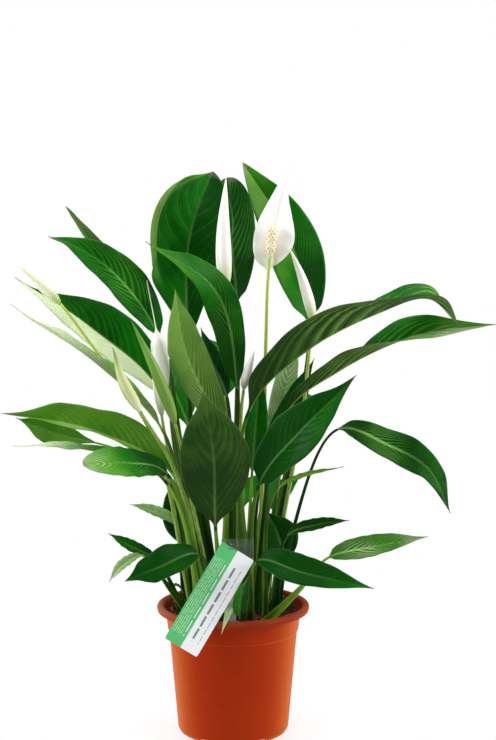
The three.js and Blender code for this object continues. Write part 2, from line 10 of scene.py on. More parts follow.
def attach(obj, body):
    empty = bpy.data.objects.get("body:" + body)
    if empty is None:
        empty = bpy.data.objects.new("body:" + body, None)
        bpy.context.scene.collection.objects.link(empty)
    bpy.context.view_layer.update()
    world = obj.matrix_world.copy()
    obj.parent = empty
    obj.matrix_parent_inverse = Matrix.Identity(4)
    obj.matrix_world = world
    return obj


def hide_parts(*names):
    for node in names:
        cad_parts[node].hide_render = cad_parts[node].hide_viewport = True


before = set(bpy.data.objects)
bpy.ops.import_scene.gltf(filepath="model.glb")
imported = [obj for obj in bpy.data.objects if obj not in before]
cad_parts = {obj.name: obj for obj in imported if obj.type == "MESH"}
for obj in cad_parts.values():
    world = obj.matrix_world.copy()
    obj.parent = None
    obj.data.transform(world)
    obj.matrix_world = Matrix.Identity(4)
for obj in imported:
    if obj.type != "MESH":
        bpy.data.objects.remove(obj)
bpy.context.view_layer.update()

scene = bpy.context.scene
mm = 0.001
soilTop = 103.0   # height of the soil's surface above the pot's foot


# A dictionary whose values can be read as names
class Form(dict):
    __getattr__ = dict.__getitem__


# Short ways to add to a node tree
class Nodes:
    def __init__(self, tree):
        self.tree = tree

    def put(self, socket, value):
        if isinstance(value, bpy.types.NodeSocket):
            self.tree.links.new(value, socket)
        else:
            socket.default_value = value

    def add(self, kind, values=None, **settings):
        node = self.tree.nodes.new("ShaderNode" + kind)
        for key, value in settings.items():
            setattr(node, key, value)
        for key, value in (values or {}).items():
            self.put(node.inputs[key], value)
        return node

    def calc(self, operation, *values, clamp=False):
        return self.add("Math", dict(enumerate(values)), operation=operation, use_clamp=clamp).outputs[0]

    def times(self, a, b, clamp=False):
        return self.calc("MULTIPLY", a, b, clamp=clamp)

    # value times factor, plus more
    def scaled(self, value, factor, more, clamp=False):
        return self.calc("MULTIPLY_ADD", value, factor, more, clamp=clamp)

    def ramp(self, value, low, high, out=(0.0, 1.0)):
        ends = {"Value": value, "From Min": low, "From Max": high, "To Min": out[0], "To Max": out[1]}
        return self.add("MapRange", ends, interpolation_type="SMOOTHSTEP").outputs["Result"]

    def blend(self, factor, a, b, mode="MIX"):
        return self.add("Mix", {0: factor, 6: a, 7: b}, data_type="RGBA", blend_type=mode).outputs[2]

    def noise(self, vector, scale, detail, roughness=0.5):
        values = {"Vector": vector, "Scale": scale, "Detail": detail, "Roughness": roughness}
        return self.add("TexNoise", values).outputs["Fac"]

    def place(self):
        return self.add("TexCoord").outputs["Object"]

    def uv(self, name):
        return self.add("UVMap", uv_map=name).outputs[0]

    def stretch(self, vector, *scale):
        return self.add("Mapping", {"Vector": vector, "Scale": scale}).outputs[0]

    def split(self, vector):
        return self.add("SeparateXYZ", {0: vector}).outputs

    def attribute(self, name):
        color = self.add("Attribute", attribute_name=name).outputs["Color"]
        return self.add("SeparateColor", {0: color}).outputs

    def group(self, group, **values):
        return self.add("Group", values, node_tree=group).outputs


# A material round one Principled shader
class Finish(Nodes):
    def __init__(self, name, **plain):
        self.material = bpy.data.materials.new(name)
        self.material.use_nodes = True
        super().__init__(self.material.node_tree)
        self.shader = self.tree.nodes["Principled BSDF"]
        for key, value in plain.items():
            self.feed(key.replace("_", " "), value)

    def feed(self, key, value):
        self.put(self.shader.inputs[key], value)

    def bump(self, strength, distance, height):
        bump = self.add("Bump", {"Strength": strength, "Distance": distance, "Height": height})
        self.feed("Normal", bump.outputs[0])


# Screen values from 0 to 255 as linear light
def rgb(*levels):
    shares = [level / 255 for level in levels]
    return (*(s / 12.92 if s <= 0.04045 else ((s + 0.055) / 1.055) ** 2.4 for s in shares), 1.0)


def newGroup(name, inputs, outputs):
    group = bpy.data.node_groups.new(name, "ShaderNodeTree")
    for key, value in inputs.items():
        socket = group.interface.new_socket(name=key, in_out="INPUT", socket_type="NodeSocketFloat")
        socket.default_value = value
    for key in outputs:
        group.interface.new_socket(name=key, in_out="OUTPUT", socket_type="NodeSocketFloat")
    return Nodes(group), group.nodes.new("NodeGroupInput").outputs, group.nodes.new("NodeGroupOutput").inputs


# Veins of a blade, from the map that holds millimetres across (U) and along the side veins (V)
def makeVeinGroup():
    n, given, out = newGroup("bladeVeins", dict(Spacing=11.0, Jitter=2.0, Finer=5.0),
                             ("Bands", "Lines", "Fine", "Midrib"))
    uv = n.uv("veins")
    across, along, _ = n.split(uv)
    wobble = n.calc("SUBTRACT", n.noise(uv, 6.0, 2.0), 0.5)
    along = n.calc("ADD", n.times(along, 100.0), n.times(wobble, given["Jitter"]))
    phase = n.calc("DIVIDE", along, given["Spacing"])
    wave = n.calc("COSINE", n.times(phase, 2 * math.pi))
    fine = n.calc("COSINE", n.times(n.times(phase, given["Finer"]), 2 * math.pi))
    n.put(out["Bands"], n.scaled(wave, 0.5, 0.5))
    n.put(out["Lines"], n.ramp(wave, 0.9, 1.0))
    n.put(out["Fine"], n.ramp(fine, 0.2, 1.0))
    n.put(out["Midrib"], n.ramp(n.times(n.calc("ABSOLUTE", across), 100.0), 0.5, 1.6, (1.0, 0.0)))
    return n.tree


# Soft patches and fine grain, for colour and roughness
def makeMottleGroup():
    n, given, out = newGroup("mottle", dict(Patch=30.0, Grain=600.0), ("Patches", "Speckle", "Veined"))
    place = n.place()
    shifted = n.add("Mapping", {"Vector": place, "Location": (0.3, 0.1, 0.2)}).outputs[0]
    n.put(out["Patches"], n.ramp(n.noise(place, given["Patch"], 4.0), 0.3, 0.7))
    n.put(out["Speckle"], n.noise(place, given["Grain"], 2.0))
    n.put(out["Veined"], n.ramp(n.noise(shifted, 22.0, 2.0), 0.36, 0.62))
    return n.tree


veinGroup = makeVeinGroup()
mottleGroup = makeMottleGroup()

upperSide = Form(deep=rgb(0, 62, 2), middle=rgb(4, 100, 0), fresh=rgb(72, 134, 30), blue=rgb(0, 62, 26),
                 young=rgb(122, 166, 52), pale=rgb(206, 220, 178), vein=rgb(132, 176, 100), gloss=0.07,
                 roughness=0.34, bump=0.25, line=0.3)
underSide = Form(deep=rgb(22, 56, 8), middle=rgb(60, 96, 30), fresh=rgb(92, 128, 54), blue=rgb(36, 66, 34),
                 young=rgb(124, 172, 74), pale=rgb(206, 216, 184), vein=rgb(122, 150, 82), gloss=0.08,
                 roughness=0.42, bump=0.35, line=0.2)
# Below, the valley colour is painted shade between the veins, and the band strength is painted sheen on the
# pillows between them.
bladeMarks = Form(valley=rgb(150, 170, 140), dry=rgb(112, 104, 84), patches=0.26, bands=0.42,
                  streaks=0.13, edge=0.25)


# One side of a blade. leafTone holds lightness, warmth and vein strength, leafShape the place on the leaf.
def makeBladeFinish(name, side):
    n = Finish(name, Specular_IOR_Level=side.gloss)
    light, warm, veins = n.attribute("leafTone")
    along, off, tipDry = n.attribute("leafShape")
    pattern, mottle = n.group(veinGroup), n.group(mottleGroup)
    veins = n.times(veins, n.scaled(mottle["Veined"], 0.7, 0.3))
    patches = bladeMarks.patches
    lightness = n.scaled(mottle["Patches"], patches, n.calc("SUBTRACT", light, patches / 2))
    # broad bands along the side veins lighten the blade: painted sheen and shade on the quilted pillows
    # between the veins
    lightness = n.scaled(pattern["Bands"], n.times(veins, bladeMarks.bands), lightness)
    green = n.blend(n.ramp(lightness, 0.1, 0.55), side.deep, side.middle)
    green = n.blend(n.ramp(lightness, 0.5, 1.0), green, side.fresh)
    green = n.blend(n.ramp(warm, 0.3, 0.0), green, side.blue)
    youth = n.times(n.ramp(warm, 0.45, 1.0), n.scaled(lightness, 1.1, 0.12, clamp=True))
    green = n.blend(youth, green, side.young)
    # lightness above 0.95 turns the blade whitish: partly the pale tone of some blades, partly a painted
    # sheen of glancing light
    green = n.blend(n.ramp(lightness, 0.95, 1.9), green, side.pale)
    # painted shade in the valleys between the veins, then veins, midrib, margin and dry tip
    valleyShade = n.times(n.calc("SUBTRACT", 1.0, pattern["Bands"]), n.times(veins, 0.3, clamp=True))
    green = n.blend(valleyShade, green, n.blend(1.0, green, bladeMarks.valley, "MULTIPLY"))
    lines = n.times(pattern["Lines"], n.times(veins, side.line))
    lines = n.times(lines, n.ramp(off, 0.75, 1.0, (1.0, 0.25)))
    streaks = n.times(pattern["Fine"], n.times(veins, bladeMarks.streaks))
    midrib = n.times(pattern["Midrib"], n.ramp(along, 0.85, 0.2, (0.12, 0.7)))
    midrib = n.times(midrib, n.scaled(veins, 0.75, 0.25))
    marks = n.calc("MAXIMUM", n.calc("MAXIMUM", lines, streaks), midrib)
    green = n.blend(marks, green, n.blend(1.0, green, side.vein, "SCREEN"))
    green = n.blend(n.times(n.ramp(off, 0.95, 1.0), bladeMarks.edge), green, side.vein)
    n.feed("Base Color", n.blend(tipDry, green, bladeMarks.dry))
    n.feed("Roughness", n.scaled(mottle["Patches"], 0.16, side.roughness - 0.08))
    height = n.calc("ADD", n.times(pattern["Fine"], 0.5), pattern["Lines"])
    n.bump(side.bump, 0.0004, n.scaled(mottle["Speckle"], 0.3, height))
    return n.material


stalkFinish = Form(dark=rgb(4, 58, 4), bright=rgb(128, 172, 42), edge=rgb(160, 186, 84), roughness=0.4,
                   gloss=0.12)


# Leaf stalks: streaked along their length, and paler at the sheath's edges
def makeStalkFinish():
    n = Finish("leafStalk", Roughness=stalkFinish.roughness, Specular_IOR_Level=stalkFinish.gloss)
    light, off = n.attribute("leafTone")[0], n.attribute("leafShape")[1]
    streak = n.noise(n.stretch(n.uv("veins"), 60.0, 2.0, 1.0), 1.0, 3.0)
    lightness = n.scaled(n.calc("SUBTRACT", streak, 0.5), 0.6, light)
    green = n.blend(n.ramp(lightness, 0.0, 1.0), stalkFinish.dark, stalkFinish.bright)
    edge = n.times(n.ramp(off, 0.8, 1.0), n.scaled(light, 0.6, 0.12))
    n.feed("Base Color", n.blend(edge, green, stalkFinish.edge))
    n.bump(0.3, 0.0003, streak)
    return n.material


# White and greenish spathes. leafShape's red runs from the foot to the tip.
def makeSpatheFinish(name, foot, body, tip):
    n = Finish(name, Roughness=0.5, Subsurface_Weight=0.08, Subsurface_Scale=0.002)
    along, _, seam = n.attribute("leafShape")
    pattern = n.group(veinGroup, Spacing=4.0, Jitter=1.0, Finer=2.0)
    mottle = n.group(mottleGroup, Patch=60.0)
    color = n.blend(n.ramp(along, 0.02, 0.3), foot, body)
    color = n.blend(n.ramp(along, 0.6, 1.0), color, tip)
    color = n.blend(n.times(seam, 0.6), color, tip)
    shade = n.scaled(mottle["Patches"], 0.06, n.times(pattern["Lines"], 0.05))
    n.feed("Base Color", n.blend(shade, color, rgb(176, 188, 150)))
    n.bump(0.18, 0.0003, n.scaled(mottle["Speckle"], 0.4, pattern["Fine"]))
    return n.material


stemFinish = Form(dark=rgb(96, 132, 34), bright=rgb(150, 176, 62), patch=rgb(70, 110, 24),
                  high=rgb(190, 208, 84), highFrom=0.24, highTo=0.36)


# Flower stems are streaked and turn yellower with height.
def makeStemFinish():
    n = Finish("flowerStem", Roughness=0.4)
    place = n.place()
    streak = n.noise(n.stretch(place, 900.0, 900.0, 25.0), 1.0, 3.0)
    color = n.blend(n.ramp(streak, 0.3, 0.7), stemFinish.dark, stemFinish.bright)
    color = n.blend(n.times(n.group(mottleGroup)["Patches"], 0.3), color, stemFinish.patch)
    high = n.times(n.ramp(n.split(place)[2], stemFinish.highFrom, stemFinish.highTo), 0.6)
    n.feed("Base Color", n.blend(high, color, stemFinish.high))
    n.bump(0.2, 0.0003, streak)
    return n.material


def makeSpadixFinish():
    n = Finish("spadixFlorets", Roughness=0.75)
    floret = n.attribute("leafShape")[0]
    mottle = n.group(mottleGroup, Patch=900.0, Grain=4000.0)
    color = n.blend(n.ramp(floret, 0.15, 0.8), rgb(244, 232, 206), rgb(206, 164, 96))
    n.feed("Base Color", n.blend(n.times(mottle["Patches"], 0.35), color, rgb(250, 240, 214)))
    n.bump(0.4, 0.0003, mottle["Speckle"])
    return n.material


potFinish = Form(body=rgb(150, 38, 0), worn=rgb(168, 56, 4), turning=rgb(182, 84, 8), rim=rgb(122, 32, 4),
                 dust=rgb(206, 150, 116), roughness=0.45, gloss=0.06)


# Moulded terracotta-coloured plastic: faint patches, fine scuffs round the wall and dust near the lip, with
# painted sheen lighter towards the wall's sides and painted shade over the lip
def makePotFinish():
    n = Finish("pottedPlastic", Specular_IOR_Level=potFinish.gloss)
    mottle = n.group(mottleGroup, Patch=14.0, Grain=900.0)
    place = n.place()
    height = n.split(place)[2]
    scuffs = n.ramp(n.noise(n.stretch(place, 30.0, 30.0, 900.0), 1.0, 5.0, 0.7), 0.58, 0.72)
    facing = n.add("LayerWeight", {"Blend": 0.5}).outputs["Facing"]
    color = n.blend(n.times(mottle["Patches"], 0.22), potFinish.body, potFinish.worn)
    # painted sheen: the wall turns lighter where it turns away from view
    color = n.blend(n.ramp(facing, 0.2, 0.85), color, potFinish.turning)
    color = n.blend(n.times(scuffs, 0.05), color, potFinish.dust)
    # painted shade: the rolled lip is darkened
    color = n.blend(n.times(n.ramp(height, 0.102, 0.105), 0.8), color, potFinish.rim)
    lip = n.times(n.ramp(height, 0.104, 0.109), mottle["Patches"])
    n.feed("Base Color", n.blend(n.times(lip, 0.22), color, potFinish.dust))
    rough = n.scaled(mottle["Patches"], 0.1, potFinish.roughness - 0.05)
    n.feed("Roughness", n.scaled(scuffs, 0.12, rough))
    n.bump(0.1, 0.0002, n.scaled(mottle["Speckle"], 0.5, scuffs))
    return n.material


def makeSoilFinish():
    n = Finish("pottingSoil", Roughness=0.95, Specular_IOR_Level=0.2)
    mottle = n.group(mottleGroup, Patch=160.0, Grain=1400.0)
    fibres = n.ramp(n.noise(n.stretch(n.place(), 1400.0, 260.0, 700.0), 1.0, 3.0), 0.5, 0.7)
    color = n.blend(mottle["Patches"], rgb(34, 12, 6), rgb(88, 40, 22))
    n.feed("Base Color", n.blend(n.times(fibres, 0.5), color, rgb(126, 70, 38)))
    n.bump(0.9, 0.0008, n.calc("ADD", mottle["Speckle"], fibres))
    return n.material


def makeRootFinish():
    n = Finish("thinRoots", Roughness=0.7)
    mottle = n.group(mottleGroup, Patch=120.0, Grain=1800.0)
    n.feed("Base Color", n.blend(mottle["Patches"], rgb(120, 64, 36), rgb(170, 112, 74)))
    n.bump(0.4, 0.0002, mottle["Speckle"])
    return n.material


# Each row of the label is its place across, its half width, its paint and its dashes in the card's length.
labelPrint = Form(
    green=rgb(84, 190, 112), white=rgb(238, 240, 242), rule=rgb(196, 226, 190), grey=rgb(120, 130, 128),
    dust=rgb(210, 220, 214), greenShare=0.485, start=0.1, end=0.86, dash=0.82,
    rows=((0.07, 0.008, "rule", 15.0), (0.13, 0.008, "rule", 11.0), (0.19, 0.008, "rule", 17.0),
          (0.25, 0.008, "rule", 13.0), (0.31, 0.008, "rule", 19.0), (0.4, 0.012, "white", 7.0),
          (0.66, 0.03, "grey", 8.0), (0.85, 0.008, "grey", 15.0)))


# A green band beside a white one, with plain rules where a label carries its print
def makeLabelFinish():
    n = Finish("labelCard")
    across, along, _ = n.split(n.uv("card"))
    green = n.calc("LESS_THAN", across, labelPrint.greenShare)
    color = n.blend(green, labelPrint.white, labelPrint.green)
    inside = n.times(n.calc("GREATER_THAN", along, labelPrint.start),
                     n.calc("LESS_THAN", along, labelPrint.end))
    for place, halfWidth, paint, dashes in labelPrint.rows:
        near = n.calc("LESS_THAN", n.calc("ABSOLUTE", n.calc("SUBTRACT", across, place)), halfWidth)
        dash = n.calc("LESS_THAN", n.calc("FRACT", n.times(along, dashes)), labelPrint.dash)
        color = n.blend(n.times(n.times(near, dash), inside), color, labelPrint[paint])
    mottle = n.group(mottleGroup, Patch=40.0, Grain=1500.0)
    n.feed("Base Color", n.blend(n.times(mottle["Patches"], 0.06), color, labelPrint.dust))
    n.feed("Roughness", n.scaled(mottle["Patches"], 0.12, 0.3))
    n.bump(0.06, 0.0002, mottle["Speckle"])
    return n.material


def makeClearFinish(name, tint, through, bending):
    n = Finish(name, Base_Color=tint, Transmission_Weight=through, IOR=bending)
    mottle = n.group(mottleGroup, Patch=90.0, Grain=1200.0)
    n.feed("Roughness", n.scaled(mottle["Patches"], 0.1, 0.02))
    n.bump(0.08, 0.0002, mottle["Speckle"])
    return n.material


bladeUpper = makeBladeFinish("bladeUpper", upperSide)
bladeUnder = makeBladeFinish("bladeUnder", underSide)
leafStalk = makeStalkFinish()
flowerStem = makeStemFinish()
print("finishes made")


def smooth(value):
    x = np.clip(value, 0.0, 1.0)
    return x * x * (3 - 2 * x)


def unit(vectors):
    return vectors / np.linalg.norm(vectors, axis=-1, keepdims=True)


# A smooth line through given points, centripetal, the same one that the solids follow
class Line:
    def __init__(self, points):
        self.points = np.array(points, float)

    def at(self, share):
        points, last = self.points, len(self.points) - 1
        place = np.clip(np.atleast_1d(np.asarray(share, float)), 0, 1) * last
        i = np.minimum(place.astype(int), last - 1)
        w = (place - i)[:, None]
        padded = np.vstack([2 * points[0] - points[1], points, 2 * points[-1] - points[-2]])
        a, b, c, d = (padded[i + k] for k in range(4))
        ab, bc, cd = (np.sqrt(np.linalg.norm(q - p, axis=1))[:, None] for p, q in ((a, b), (b, c), (c, d)))
        start = ((b - a) / ab - (c - a) / (ab + bc) + (c - b) / bc) * bc
        end = ((c - b) / bc - (d - b) / (bc + cd) + (d - c) / cd) * bc
        return b + start * w + (3 * (c - b) - 2 * start - end) * w**2 + (2 * (b - c) + start + end) * w**3

    def heading(self, share):
        share = np.atleast_1d(np.asarray(share, float))
        return unit(self.at(np.clip(share + 1e-4, 0, 1)) - self.at(np.clip(share - 1e-4, 0, 1)))


# The line of a leaf or flower from the soil to its tip, and the share of it where the stalk ends
def lineOf(foot, stalkPoints, endPoints):
    line = Line([(*foot, soilTop), *stalkPoints, *endPoints])
    return line, (1 + len(stalkPoints)) / (len(stalkPoints) + len(endPoints))


# Cross directions of a line: out is square to it on the side that face gives, then turned by degrees
def crossAxes(headings, face, turn=0.0):
    face = np.array(face, float)
    out = unit(face - headings * (headings @ face)[:, None])
    angle = np.radians(np.broadcast_to(turn, len(headings)))[:, None]
    out = out * np.cos(angle) + np.cross(headings, out) * np.sin(angle)
    return out, np.cross(headings, out)


def turns(sides):
    return -2 * np.pi * np.arange(sides)[None, :] / sides


# Rings about a line. Radii and angles may change along it and round it.
def ringsAbout(centre, heading, radii, angle, face=(0.1, -1, 0.05)):
    out, side = crossAxes(heading, face)
    across, ahead = radii * np.cos(angle), radii * np.sin(angle)
    return centre[:, None] + side[:, None] * across[..., None] + out[:, None] * ahead[..., None]


# The same ring lower in the soil, straight down the line
def rootedFoot(rings, line):
    return rings[:1] - line.heading(0) * stalk.depth / line.heading(0)[0, 2]


# Faces of a closed skin over rings of equal count, with a middle point at each end
def skinFaces(rings, count):
    i, j = np.meshgrid(np.arange(rings - 1), np.arange(count), indexing="ij")
    a, b = i * count + j, i * count + (j + 1) % count
    quads = np.stack([a, b, b + count, a + count], -1).reshape(-1, 4)
    edge = np.arange(count)
    ahead = (edge + 1) % count
    first, top = rings * count, (rings - 1) * count
    foot = np.stack([np.full(count, first), ahead, edge], -1)
    tip = np.stack([np.full(count, first + 1), top + edge, top + ahead], -1)
    return quads.tolist() + foot.tolist() + tip.tolist()


def newMesh(name, points, faces):
    mesh = bpy.data.meshes.new(name)
    mesh.from_pydata((points * mm).tolist(), [], faces)
    return mesh


def skinMesh(name, rings):
    points = np.vstack([rings.reshape(-1, 3), rings[0].mean(0), rings[-1].mean(0)])
    mesh = newMesh(name, points, skinFaces(*rings.shape[:2]))
    mesh.shade_smooth()
    return mesh


def addPiece(name, mesh, materials, node):
    piece = bpy.data.objects.new(name, mesh)
    for material in materials:
        mesh.materials.append(material)
    scene.collection.objects.link(piece)
    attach(piece, "root")
    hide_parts(node)
    return piece


def setColors(mesh, name, *channels):
    layer = mesh.color_attributes.new(name=name, type="FLOAT_COLOR", domain="POINT")
    colors = np.ones((len(mesh.vertices), 4), np.float32)
    for i, channel in enumerate(channels):
        colors[:channel.size, i] = channel.ravel()
    layer.data.foreach_set("color", colors.ravel())


def setMap(mesh, name, across, along):
    layer = mesh.uv_layers.new(name=name)
    corners = np.zeros(len(mesh.loops), np.int32)
    mesh.loops.foreach_get("vertex_index", corners)
    places = np.zeros((len(mesh.vertices), 2), np.float32)
    places[:across.size] = np.stack([across.ravel(), along.ravel()], -1)
    layer.data.foreach_set("uv", places[corners].ravel())


blade = Form(thickness=0.62, tipRadius=0.35, fold=22.0, unfold=0.4, arch=0.05, belly=0.78, fullness=0.95,
             tipFrom=0.72, tipSlim=0.45, rightForm={}, shares=(1, 1), uneven=0.05, flatFrom=0.1, wave=1.1,
             waves=17.0, ruffle=0.35, turn=0, turnFrom=0.25, turnOver=0.5, hook=(0, 0, 0), hookFrom=0.8,
             quiltHeight=0.75, quilt=1.0, spacing=9.0, slant=2.9, acute=1.0, veinCurve=0.95,
             veinDrift=1.6, groove=0.45, grooveWidth=1.3, rib=1.05, curl=(0, 0), curlAt=0.0,
             rollFrom=0.72, rollMost=2.6, rollTone=0, halves=(0, 0), fade=(0, 0), dryFrom=0.945,
             dryTip=0.6, girth=1.0, sheath=1.0, stalkTone=0.12, along=104, across=14, seed=11)
smallBlade = Form(wave=0.0, spacing=5.5, girth=0.75, along=60, across=9)
stalk = Form(depth=10.0, footRadius=2.6, neckRadius=1.5, steps=26, groove=0.55, grooveWide=0.55,
             sheath=1.3, cup=0.9)


# stalkPoints and points are the midrib's line over its foot, and face is where the upper side looks.
def grown(foot, stalkPoints, points, width, tone, face, **more):
    return Form(blade, foot=foot, stalk=stalkPoints, points=points, width=width, tone=tone, face=face, **more)


def small(foot, stalkPoints, points, width, tone, face=(0, -0.6, 0.8), **more):
    return grown(foot, stalkPoints, points, width, tone, face, **{**smallBlade, **more})
